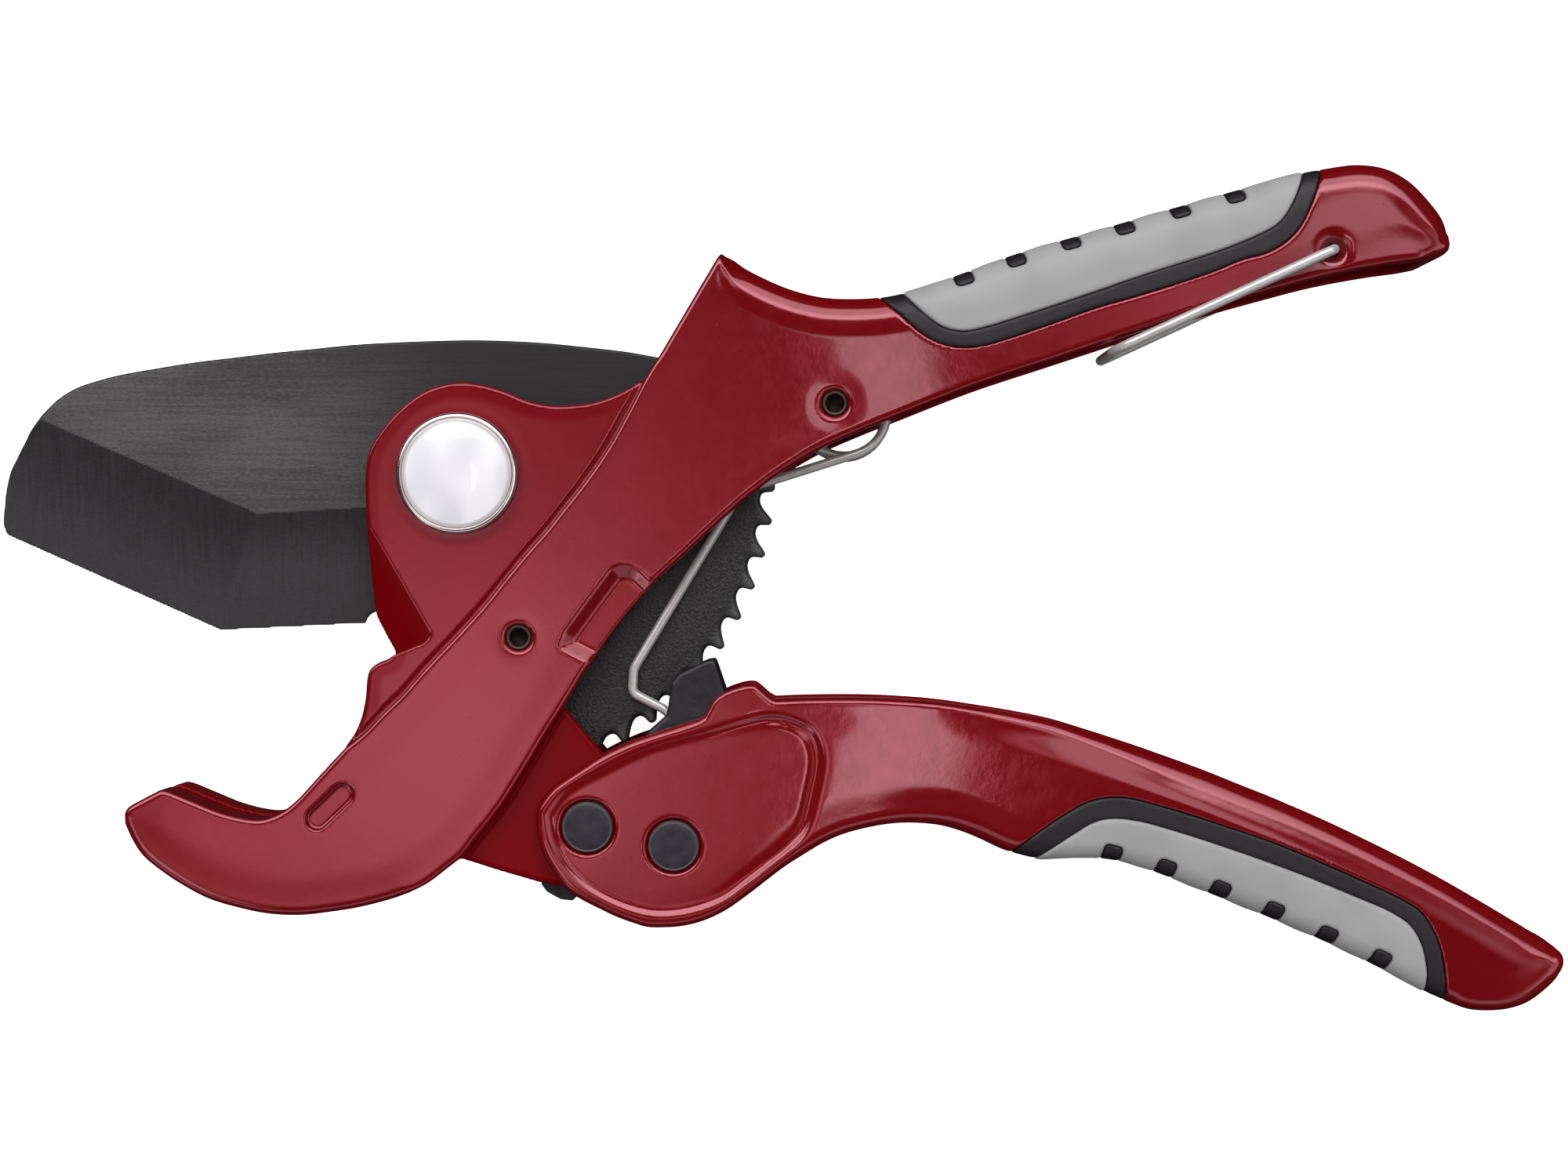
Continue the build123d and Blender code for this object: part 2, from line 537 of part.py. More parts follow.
def make_sector():
    teeth = [polar(radius, FIRST_TIP - PITCH * k + angle)
             for k in range(TEETH) for radius, angle in TOOTH]
    teeth = teeth[:-6]   # the last tooth stops short of its root
    outline = (polar_arc(TIP_R, 6.0, FIRST_TIP + 1.0, 4) + teeth
               + [polar(*p) for p in SECTOR_TAIL]
               + polar_arc(SECTOR_IN_R, -75.0, -38.5, 14)
               + [polar(*p) for p in SECTOR_INNER]
               + polar_arc(SECTOR_HUB_R, -75.0, -290.0, 40) + SECTOR_TOP)
    sector = slab(poly(outline), SECTOR_HALF)
    sector -= slab(poly(TANG_ROOM), BLADE_HALF + 0.02)
    return cut_hub_and_dowels(sector, 5)


# --------------------------------------------------------------------- blade
STOP_NOTCH_R = 2.15


def bevel(start, stop, before, after, side):
    """Wedge that grinds one bevel: start-stop is its upper line, run on at both ends."""
    along_x, along_y, length = direction(start, stop)
    down_x, down_y = along_y, -along_x
    width = (BLADE_CORNER[0] - start[0]) * down_x + (BLADE_CORNER[1] - start[1]) * down_y
    slope = (BLADE_HALF - EDGE_LAND) / width
    far = width * 1.03
    x, y = start[0] - along_x * before, start[1] - along_y * before
    far_x, far_y = x + down_x * far, y + down_y * far
    profile = poly([(x, y, side * BLADE_HALF), (far_x, far_y, side * (BLADE_HALF - slope * far)),
                    (far_x, far_y, side * 4), (x, y, side * 4)])
    reach = length + before + after
    return Solid.extrude(profile, Vector(along_x * reach, along_y * reach, 0))


def make_blade():
    outline = region(BLADE_TOP, BLADE_TIP, [BLADE_TIP[-1], BLADE_CORNER],
                     [BLADE_CORNER, BLADE_HEEL], [BLADE_HEEL, BLADE_NECK], TANG_LOW, TANG_END)
    blade = slab(outline, BLADE_HALF)
    # notch that meets the stop pin when the blade is closed
    blade -= mid_rod(turn(STOP_PIN, PIVOT, -CLOSING_TURN), STOP_NOTCH_R, 3)
    blade = cut_hub_and_dowels(blade, 3)
    for side in (1, -1):
        blade -= bevel(BEVEL_TIP, BEVEL_MID, before=30, after=40, side=side)
        blade -= bevel(BEVEL_MID, BEVEL_HEEL, before=40, after=2.0, side=side)
    return blade


# --------------------------------------------------------------- pivot stack
HEAD_R = 9.5
HEAD_TOP = BOSS_HALF + 2.2
BADGE_R = 8.6
BADGE_Z = BOSS_HALF + 1.5    # floor of the badge's recess in the bolt head
BADGE_DOME = 1.0
NUT_Z = -9.25
NUT_THICK = 3.2
NUT_CORNER_R = 7.5
WASHER_R = 8.0


def round_rim(bolt):
    """Round the outer top edge of the bolt head."""
    rim = []
    for edge in bolt.edges():
        box = edge.bounding_box()
        level = abs(box.max.Z - HEAD_TOP) < 0.01 and abs(box.min.Z - HEAD_TOP) < 0.01
        if level and box.size.X > 18.5:
            rim.append(edge)
    for radius in (0.5, 0.3):
        # guards against a fillet that fails on the narrow ring round the badge
        try:
            rounded = bolt.fillet(radius, rim)
            if rounded.is_valid and rounded.volume > 0.5 * bolt.volume:
                return rounded
        except Exception:
            continue
    return bolt


def make_bolt():
    bolt = rod(PIVOT, BOLT_R, -9.3, BOSS_HALF) + rod(PIVOT, HEAD_R, BOSS_HALF, HEAD_TOP)
    bolt -= rod(PIVOT, BADGE_R + 0.04, BADGE_Z, BOSS_HALF + 3)
    return round_rim(largest(bolt))


def make_badge():
    """Disc with a domed face."""
    dome_r = (BADGE_R ** 2 + BADGE_DOME ** 2) / (2 * BADGE_DOME)
    ball = Solid.make_sphere(dome_r, Plane(origin=(0, 0, HEAD_TOP + BADGE_DOME - dome_r)))
    dome = ball & rod(PIVOT, BADGE_R, HEAD_TOP - 0.1, 20)
    return rod(PIVOT, BADGE_R, BADGE_Z, HEAD_TOP) + dome


def make_nut():
    hexagon = poly([polar(NUT_CORNER_R, 30 + 60 * i) for i in range(6)])
    return layer(hexagon, NUT_Z, NUT_Z + NUT_THICK) - rod(PIVOT, BOLT_R + 0.02, -OUTSIDE, 0)


def make_bush():
    return mid_rod(PIVOT, BUSH_R, SLOT_HALF - GAP) - mid_rod(PIVOT, BOLT_R + BOLT_CLEAR, 5)


def make_washers():
    """Washers between the sector and both walls of the slot."""
    near, far = SECTOR_HALF + 0.04, SLOT_HALF - 0.04
    return [largest(rod(PIVOT, WASHER_R, z0, z1) - mid_rod(PIVOT, BUSH_R + 0.1, 5))
            for z0, z1 in ((near, far), (-far, -near))]


# ------------------------------------------------------------ pins and rivets
def roll_pin(centre):
    """Tube slit along its +X side."""
    slit_width = 0.5
    pin = mid_rod(centre, 1.98, 9.1) - mid_rod(centre, 1.15, 10)
    corner = Plane(origin=(centre[0], centre[1] - slit_width / 2, -10))
    return pin - Solid.make_box(2.5, slit_width, 20, corner)


def rivet(centre):
    pin = mid_rod(centre, RIVET_R, BAND_HALF - RIVET_SEAT)
    head_z0, head_z1 = BAND_HALF - 0.88, BAND_HALF + 0.12
    pin = pin + rod(centre, RIVET_HEAD_R, head_z0, head_z1)
    pin = pin + rod(centre, RIVET_HEAD_R, -head_z1, -head_z0)
    # the heads stand just clear of the first shank, the longer one joins them
    return pin + mid_rod(centre, RIVET_R, BAND_HALF)


# --------------------------------------------------------------------- pawls
PAWL_IN = 4.6            # inner face of the drive pawl's cheeks
PAWL_OUT = 6.0           # outer face
PAWL_SET = -4.0          # degrees the drive pawl is swung clear of the teeth
CHEEK_RIGHT = [
    (33.26, -32.81), (34.37, -31.45), (37.82, -29.73), (39.05, -29.24), (40.03, -29.11),
    (41.51, -33.42), (43.4, -39.4), (43.2, -46.0), (40.6, -53.0)]
CHEEK_LEFT = [
    (28.7, -53.5), (28.6, -45.0), (28.93, -41.1), (31.0, -39.3), (32.45, -38.0),
    (32.76, -36.63)]
PAWL_WEB = [
    (38.15, -29.62), (39.05, -29.24), (40.03, -29.11), (41.51, -33.42), (43.4, -39.4),
    (43.2, -46.0), (41.6, -46.0), (41.7, -39.6), (40.0, -33.9), (38.9, -31.2)]
HOLD_HALF = 2.5
HOLD_TIP = [
    (24.74, -44.04), (25.70, -42.68), (25.95, -42.62), (26.55, -43.36), (26.3, -46.5)]
HOLD_TAIL = [
    (21.0, -61.5), (18.6, -66.4), (17.5, -67.5), (15.6, -67.3), (13.4, -66.1), (12.5, -64.9),
    (13.2, -60.5)]


def swung(points):
    return poly([turn(p, PAWL_PIVOT, PAWL_SET) for p in points])


def make_drive_pawl():
    """Two cheeks joined by a web along their +X edge."""
    hub = points_about(PAWL_PIVOT, 5.6, range(20, -196, -18))
    cheek = swung(CHEEK_RIGHT + hub + CHEEK_LEFT)
    pawl = layer(cheek, PAWL_IN, PAWL_OUT) + layer(cheek, -PAWL_OUT, -PAWL_IN)
    pawl = pawl + slab(swung(PAWL_WEB), PAWL_OUT)
    pawl -= mid_rod(PAWL_PIVOT, RIVET_R + RUN, 8)
    # hole for the spring's end, in the front cheek only
    return pawl - rod(SPRING_HOOK, SPRING_WIRE_R + 0.45, 2.0, 8.0)


def make_holding_pawl():
    outline = (HOLD_TIP + points_about(HANDLE_PIVOT, 5.0, (30, 5, -20, -45)) + HOLD_TAIL
               + points_about(HANDLE_PIVOT, 5.2, (190, 165, 140, 115)) + [(20.6, -48.5)])
    return slab(poly(outline), HOLD_HALF) - mid_rod(HANDLE_PIVOT, RIVET_R + RUN, 8)


# ------------------------------------------------------------------- springs
COIL_TURNS = 4.6
COIL_PITCH = 1.62
COIL_END_ANGLE = -73.9               # where the coil passes into the front leg
LEG_WIRE_R = SPRING_WIRE_R - 0.002   # a hair thinner than the coil's wire
BACK_LEG_LENGTH = 9.0
# (x, y) bends of the front leg, all at LEG_Z
LEG_BENDS = [
    (44.4, -2.35), (42.6, -3.6), (38.98, -9.85), (27.7, -29.9), (27.05, -31.6), (27.0, -33.2),
    (27.75, -34.55), (32.17, -37.10), SPRING_HOOK]


def make_return_spring():
    height = COIL_PITCH * COIL_TURNS
    coil, helix = wind_coil(COIL_PITCH, height, COIL_R, SPRING_WIRE_R, lefthand=True)
    end = helix.position_at(1)
    start_angle = COIL_END_ANGLE - degrees(atan2(end.Y, end.X))
    back_z = LEG_Z - height
    coil = coil.moved(Location((*COIL_AXIS, back_z), (0, 0, start_angle)))

    leg_start = points_about(COIL_AXIS, COIL_R, [COIL_END_ANGLE])
    front_leg = [(x, y, LEG_Z) for x, y in leg_start + LEG_BENDS] + [(*SPRING_HOOK, 5.9)]
    x, y = points_about(COIL_AXIS, COIL_R, [start_angle])[0]
    back_leg = [(x, y, back_z),
                (x - sin(radians(start_angle)) * BACK_LEG_LENGTH,
                 y + cos(radians(start_angle)) * BACK_LEG_LENGTH, back_z)]
    spring = coil.fuse(wire_path(front_leg, LEG_WIRE_R))
    return spring.fuse(wire_path(back_leg, LEG_WIRE_R))


def make_holding_spring():
    """Small coil lying along +X."""
    coil, _ = wind_coil(pitch=0.95, height=4.3, coil_r=1.35, wire_r=0.32)
    return coil.moved(Location((8.40, -62.0, 0.0), (0, 90, 0)))


# ---------------------------------------------------------------------- bail
BAIL_LOOP = (99.5, 16.86)   # where the bail crosses from front to back
BAIL_BEND_R = 3.5
BAIL_END_Z = 7.0
BEND_STEPS = 4


def make_bail():
    back_x, back_y, _ = direction(BAIL_LOOP, BAIL_PIVOT)

    def leg_point(distance, z):
        """Point of the leg at this distance from the crossing."""
        return (BAIL_LOOP[0] + back_x * distance, BAIL_LOOP[1] + back_y * distance, z)

    front = [(*BAIL_PIVOT, BAIL_END_Z), (*BAIL_PIVOT, BAIL_Z), leg_point(BAIL_BEND_R, BAIL_Z)]
    for k in range(1, BEND_STEPS + 1):
        angle = radians(90 * k / BEND_STEPS)
        front.append(leg_point(BAIL_BEND_R * (1 - sin(angle)),
                               BAIL_Z - BAIL_BEND_R * (1 - cos(angle))))
    back = [(x, y, -z) for x, y, z in reversed(front)]
    return wire_path(front + back, BAIL_WIRE_R)


# -------------------------------------------------------------------- output
os.makedirs("parts", exist_ok=True)

save_body_and_grip()
save_lower_handle_and_grip()
save(make_sector(), "ratchet_sector")
save(make_blade(), "blade")
save_group([mid_rod(p, DOWEL_HOLE_R - 0.02, SECTOR_HALF) for p in DOWELS], "sector_dowels")
save(make_bolt(), "pivot_bolt")
save(make_badge(), "pivot_badge")
save(make_nut(), "pivot_nut")
save(make_bush(), "pivot_bush")
save_group(make_washers(), "pivot_washers")
save(roll_pin(STOP_PIN), "blade_stop_pin")
save(roll_pin(SPRING_PIN), "spring_pin")
save(rivet(HANDLE_PIVOT), "handle_pivot_pin")
save(rivet(PAWL_PIVOT), "pawl_pin")
save(make_drive_pawl(), "drive_pawl")
save(make_holding_pawl(), "holding_pawl")
save(make_return_spring(), "return_spring")
save(make_holding_spring(), "holding_pawl_spring")
save(make_bail(), "handle_bail")
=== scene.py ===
"""Ratchet cutter with a hooked band, a curved blade and two handles.

It lies flat: z is the thickness, with the middle of the plates on z = 0. The blade pivot is at
the origin, the hook and the blade reach towards -x, the handles towards +x, and the lower handle
is on the -y side. Shapes are worked in millimetres as distance fields (negative inside), and
turned into meshes in metres.
"""
import bpy
import math
import numpy as np
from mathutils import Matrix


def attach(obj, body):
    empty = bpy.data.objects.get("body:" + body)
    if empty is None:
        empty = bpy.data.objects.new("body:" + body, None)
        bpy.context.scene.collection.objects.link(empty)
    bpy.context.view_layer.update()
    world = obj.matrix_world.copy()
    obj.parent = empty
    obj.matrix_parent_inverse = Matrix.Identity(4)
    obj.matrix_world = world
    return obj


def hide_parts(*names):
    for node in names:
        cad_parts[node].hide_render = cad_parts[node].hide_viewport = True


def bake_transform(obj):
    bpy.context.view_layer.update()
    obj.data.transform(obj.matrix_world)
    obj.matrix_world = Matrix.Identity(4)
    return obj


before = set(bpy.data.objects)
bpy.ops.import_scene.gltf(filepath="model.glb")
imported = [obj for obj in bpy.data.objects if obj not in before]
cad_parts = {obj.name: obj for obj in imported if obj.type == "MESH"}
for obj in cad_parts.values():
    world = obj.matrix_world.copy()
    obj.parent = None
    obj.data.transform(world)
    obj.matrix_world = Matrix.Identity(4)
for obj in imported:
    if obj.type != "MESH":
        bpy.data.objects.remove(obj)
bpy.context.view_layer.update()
MM = 0.001

# ------------------------------------------------------------- driving sizes
PIVOT = (0.0, 0.0)
HANDLE_PIVOT = (20.32, -55.18)
PAWL_PIVOT = (33.77, -58.11)
STOP_PIN = (9.58, -25.60)
SPRING_PIN = (58.94, 10.93)
COIL_AXIS = (60.53, 9.71)
BAIL_PIVOT = (136.66, 34.81)
SPRING_HOLE = (36.3, -41.2)
DOWELS = [(14.5, 2.0), (25.0, 6.5)]
DOWEL_RADIUS = 2.0
BLADE_BORE = 5.05
PAWL_BORE = 3.05
BLADE_TURN = 50.0     # degrees that bring the blade's hole onto the stop pin
PLATE_HALF = 9.5      # half thickness of the band
BOSS_HALF = 8.0
BLADE_HALF = 1.5
WALL = 3.2            # handle wall left beside the channels

# Sampling steps. Layers are: height where the close ones begin, spacing below, spacing above.
BODY_STEP = 0.33
BODY_LAYERS = ((6.6, 0.66, 0.26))
GRIP_STEP = 0.32
BLADE_STEP = 0.25
FINE_STEP = 0.22

# ------------------------------------------- measured outlines, rows of (x, y)
# Band, hook and upper handle, clockwise
BAND_TOP = [
    (41.09, 34.58), (43.05, 33.66), (44.88, 32.37), (47.94, 30.78), (51.00, 29.44),
    (54.06, 28.46), (57.36, 27.79), (61.64, 27.60), (66.29, 27.85), (69.35, 28.40),
    (75.46, 30.29), (81.58, 32.50), (87.70, 34.70), (99.93, 38.25), (112.16, 41.79),
    (124.39, 45.22), (130.51, 46.93), (136.01, 47.98), (141.03, 48.58), (145.55, 47.90),
    (149.10, 45.95), (152.20, 42.85), (154.45, 39.70), (155.20, 37.00)]
BAND_END = [(155.20, 37.00), (154.95, 34.95), (153.40, 33.75), (151.30, 33.30)]
BAND_LOW = [
    (151.30, 33.30), (145.31, 32.50), (136.75, 30.91), (128.18, 28.70), (118.28, 25.89),
    (106.04, 21.98), (93.81, 17.94), (81.58, 13.90), (69.35, 9.13), (63.23, 6.69),
    (57.12, 4.00), (51.00, 0.45), (45.37, -3.71), (40.11, -8.36), (36.08, -12.15),
    (31.06, -16.80), (26.66, -21.57), (22.87, -26.58), (19.69, -31.36), (16.87, -36.00),
    (13.57, -41.26), (11.25, -45.18), (9.29, -48.36), (7.45, -51.29), (5.37, -54.11),
    (3.05, -56.92), (1.09, -59.49), (-1.72, -61.81), (-4.66, -64.02), (-7.47, -65.48)]
HOOK_LOW = [
    (-7.47, -65.48), (-10.16, -66.46), (-15.42, -67.81), (-19.95, -68.54), (-24.72, -69.03),
    (-29.73, -68.79), (-34.50, -67.81), (-38.91, -66.46), (-42.70, -64.50), (-46.25, -62.18),
    (-49.30, -59.61), (-50.89, -57.17), (-51.99, -54.72)]
HOOK_TIP = [(-51.99, -54.72), (-51.99, -53.01)]
HOOK_NOSE = [(-51.99, -53.01), (-51.38, -52.15), (-49.30, -50.93), (-46.25, -49.34)]
HOOK_TOP = [
    (-46.25, -49.34), (-45.39, -49.46), (-41.11, -51.17), (-37.19, -52.76), (-33.40, -53.74),
    (-30.71, -53.98), (-28.51, -53.37), (-26.92, -52.52), (-25.21, -51.17), (-20.92, -46.52),
    (-17.62, -42.98)]
BAND_LEFT = [
    (-17.62, -42.98), (-14.44, -40.41), (-11.38, -37.23), (-8.57, -34.54), (-6.12, -31.72),
    (-3.31, -28.66), (-0.25, -25.48), (4.15, -20.59), (7.58, -16.31), (11.12, -12.03),
    (13.94, -8.85), (16.63, -5.42), (19.44, -1.88), (22.01, 1.67), (23.84, 4.48),
    (25.56, 7.54), (27.64, 11.46), (29.47, 15.00), (31.43, 18.18)]
BAND_BACK = [(31.43, 18.18), (41.09, 34.58)]

# Boss round the blade pivot
BOSS_RIM = [
    (31.97, 18.32), (31.36, 16.97), (28.66, 14.63), (24.36, 12.30), (20.43, 11.07),
    (14.91, 10.70), (10.98, 11.44), (7.05, 13.04), (2.75, 14.14), (-0.69, 14.27),
    (-5.10, 13.04), (-8.91, 10.34), (-12.10, 6.78), (-14.07, 3.22), (-14.56, -0.59),
    (-14.31, -8.45), (-13.70, -18.27), (-13.33, -21.83), (-12.10, -24.53), (-10.32, -27.84)]
BOSS_NOTCH = [
    (-10.32, -27.84), (-10.51, -28.70), (-12.66, -29.69), (-13.88, -30.74), (-14.31, -32.39),
    (-14.50, -34.84), (-15.10, -37.87), (-16.15, -40.49), (-17.75, -42.82)]
BOSS_REST = [(-17.0, -44.5), (6.0, -30.0), (31.97, 18.32)]

# Blade
BLADE_TOP = [
    (31.05, 18.76), (26.06, 19.64), (19.82, 20.38), (13.59, 21.01), (7.35, 21.38),
    (1.12, 21.51), (-5.12, 21.38), (-11.35, 21.13), (-17.59, 20.76), (-23.82, 20.13),
    (-30.06, 19.51), (-36.29, 18.76), (-42.53, 18.01), (-48.76, 17.02), (-55.00, 15.89),
    (-58.24, 15.02), (-61.23, 14.02), (-64.35, 12.15), (-67.02, 9.53)]
BLADE_TIP = [
    (-67.02, 9.53), (-68.71, 7.17), (-69.84, 5.05), (-71.08, 2.68), (-72.08, 0.68),
    (-72.83, -2.19), (-73.25, -5.43), (-73.43, -7.67), (-72.87, -9.42)]
BLADE_CORNER = (-38.79, -24.63)
BLADE_HEEL = (-14.28, -23.45)
TANG_LOW = [
    (-12.6, -20.6), (-8.0, -17.2), (0.0, -16.0), (9.0, -12.5), (17.0, -6.5), (26.5, 0.5),
    (34.5, 9.5)]
TANG_END = [(34.5, 9.5), (35.9, 13.0), (34.6, 16.6), (31.05, 18.76)]
# upper ends of the two bevels, which meet at the middle point
BEVEL_RIDGE = [(-66.88, 8.75), (-32.70, -6.12), (-15.72, -5.17)]

# Lower handle, clockwise
LOW_NECK = [
    (12.22, -54.72), (12.40, -52.39), (13.57, -50.44), (14.98, -48.85), (17.08, -47.38),
    (19.65, -45.67), (22.50, -43.83), (26.54, -41.88), (29.23, -40.90), (34.49, -39.25),
    (38.40, -37.96)]
LOW_BUMP = [
    (38.40, -37.96), (39.13, -36.98), (39.99, -35.39), (41.58, -34.17), (43.42, -33.43),
    (45.01, -33.01), (46.47, -33.01), (47.82, -34.05), (48.80, -34.90), (49.65, -35.39)]
LOW_TOP = [
    (49.65, -35.39), (54.06, -35.21), (63.23, -35.15), (69.35, -35.39), (75.46, -35.88),
    (81.58, -36.74), (87.70, -37.72), (93.81, -38.94), (99.93, -40.77), (106.04, -42.73),
    (112.16, -44.81), (118.28, -47.01), (124.39, -49.46), (130.51, -51.91), (136.62, -54.60),
    (142.74, -57.53), (148.86, -60.59), (154.97, -63.89), (161.09, -67.44), (167.21, -71.11),
    (170.26, -72.94), (171.85, -74.17)]
LOW_END = [
    (171.85, -74.17), (172.83, -75.27), (173.08, -76.61), (172.10, -78.69), (170.26, -80.65),
    (167.21, -82.85), (164.15, -83.83), (161.09, -84.08), (158.03, -83.83), (154.97, -82.73)]
LOW_SPINE = [
    (154.97, -82.73), (151.92, -81.38), (148.86, -79.79), (142.74, -76.61), (136.62, -73.68),
    (130.51, -70.99), (124.39, -68.42), (118.28, -65.97), (112.16, -63.53), (106.04, -61.32),
    (102.99, -60.59), (99.93, -60.22), (96.87, -60.10), (93.81, -60.22), (90.75, -60.30),
    (86.72, -59.37), (84.64, -58.63), (81.58, -57.17), (78.52, -55.94), (75.46, -55.09),
    (72.41, -54.72), (69.35, -54.66), (66.29, -54.96), (63.23, -55.57), (60.17, -56.43),
    (57.12, -57.78), (54.06, -59.61), (51.00, -61.57), (47.94, -63.89), (44.88, -66.22),
    (41.83, -68.30), (38.77, -69.76), (35.71, -70.62), (32.65, -70.93), (29.59, -70.87),
    (27.88, -70.38), (24.82, -69.28), (22.25, -68.05), (19.81, -66.83), (17.97, -65.73),
    (16.63, -64.63), (14.98, -62.42), (13.45, -59.86), (12.59, -57.53), (12.22, -54.72)]
# outline of the stepped plate round the two pins of the lower handle
PLATEAU = [
    (14.35, -53.33), (17.04, -49.91), (22.90, -46.61), (30.23, -43.19), (38.78, -40.87),
    (48.56, -38.55), (51.73, -38.91), (54.91, -40.62), (56.25, -44.17), (55.52, -49.42),
    (53.81, -55.41), (51.73, -57.85), (45.01, -63.10), (41.23, -65.91), (36.34, -67.75),
    (30.84, -68.24), (25.34, -66.77), (20.46, -64.08), (17.04, -60.66), (14.96, -56.75)]

# Grips: edge of the black border, edge of the grey pad, centres of the ribs
UP_BORDER = [
    (66.13, 27.37), (69.55, 24.32), (72.48, 21.76), (75.53, 20.17), (78.94, 19.56),
    (82.36, 19.93), (86.14, 21.03), (92.61, 23.22), (99.81, 25.78), (106.52, 27.74),
    (117.26, 31.15), (122.38, 33.23), (126.29, 34.33), (129.22, 36.03), (131.41, 38.35),
    (133.49, 42.62), (135.20, 47.75)]
UP_PAD = [
    (69.91, 27.86), (71.62, 26.03), (73.82, 24.08), (75.89, 22.73), (78.94, 22.12),
    (81.87, 22.61), (88.34, 24.56), (99.81, 28.35), (106.52, 30.67), (119.33, 34.81),
    (124.46, 36.89), (128.00, 38.84), (130.07, 41.65), (132.39, 47.14)]
UP_RIBS = [
    (79.13, 30.78), (87.33, 33.72), (95.89, 36.41), (104.33, 38.73), (113.02, 41.30),
    (121.58, 43.63)]
LOW_BORDER = [
    (86.51, -59.14), (90.78, -55.85), (94.93, -53.04), (98.96, -50.97), (103.71, -50.48),
    (109.57, -51.82), (119.46, -54.87), (128.24, -57.92), (139.83, -62.93), (147.40, -66.47),
    (150.33, -68.42), (152.40, -71.71), (153.62, -75.50), (154.48, -82.45)]
LOW_PAD = [
    (89.93, -60.36), (96.15, -56.22), (98.96, -54.51), (101.88, -53.77), (106.03, -54.14),
    (112.38, -55.85), (122.38, -59.14), (131.17, -62.32), (139.83, -65.86), (145.69, -68.42),
    (148.62, -70.49), (150.33, -73.42), (151.18, -77.20), (151.30, -81.11)]
LOW_RIBS = [
    (102.38, -59.37), (110.69, -61.69), (119.13, -64.99), (127.45, -68.30), (135.77, -72.09),
    (144.09, -75.76)]
LOW_RIB_ANGLES = (-14.0, -20.0, -21.5, -22.5, -24.0, -25.0)


# --------------------------------------------------------------- plane curves
def spline(points, step=0.6):
    """Centripetal curve through the points, closely sampled; the ends are kept."""
    points = np.asarray(points, float)
    if len(points) < 3:
        return points
    guide = np.vstack([2 * points[0] - points[1], points, 2 * points[-1] - points[-2]])
    curve = []
    for before, start, end, after in zip(guide, guide[1:], guide[2:], guide[3:]):
        gap_in, gap, gap_out = (max(np.linalg.norm(leg), 1e-6) ** 0.5
                                for leg in (start - before, end - start, after - end))
        leave = (start - before) / gap_in - (end - before) / (gap_in + gap) + (end - start) / gap
        arrive = (end - start) / gap - (after - start) / (gap + gap_out) + (after - end) / gap_out
        leave, arrive = leave * gap, arrive * gap
        count = max(1, int(math.ceil(np.linalg.norm(end - start) / step)))
        t = (np.arange(count) / count)[:, None]
        curve.append((2 * t ** 3 - 3 * t ** 2 + 1) * start + (t ** 3 - 2 * t ** 2 + t) * leave
                     + (-2 * t ** 3 + 3 * t ** 2) * end + (t ** 3 - t ** 2) * arrive)
    curve.append(points[-1:])
    return np.vstack(curve)


def joined(*runs):
    """Closed outline from runs that each start where the last one ends."""
    return np.vstack([spline(run)[:-1] for run in runs])


def shifted(run, distance):
    """The run moved sideways, to the left of its direction if distance is positive."""
    moved = []
    for i, (x, y) in enumerate(run):
        start, end = run[max(i - 1, 0)], run[min(i + 1, len(run) - 1)]
        along_x, along_y = end[0] - start[0], end[1] - start[1]
        length = math.hypot(along_x, along_y)
        moved.append((x - along_y / length * distance, y + along_x / length * distance))
    return moved


def polar(radius, angle, centre=PIVOT):
    angle = math.radians(angle)
    return (centre[0] + radius * math.cos(angle), centre[1] + radius * math.sin(angle))


def arc(radius, start, end, count, centre=PIVOT):
    """Points of an arc cut into count parts, both ends included."""
    return [polar(radius, start + (end - start) * i / count, centre) for i in range(count + 1)]


def turned(point, angle):
    """The point turned about the blade pivot."""
    sine, cosine = math.sin(math.radians(angle)), math.cos(math.radians(angle))
    x, y = point
    return (cosine * x - sine * y, sine * x + cosine * y)


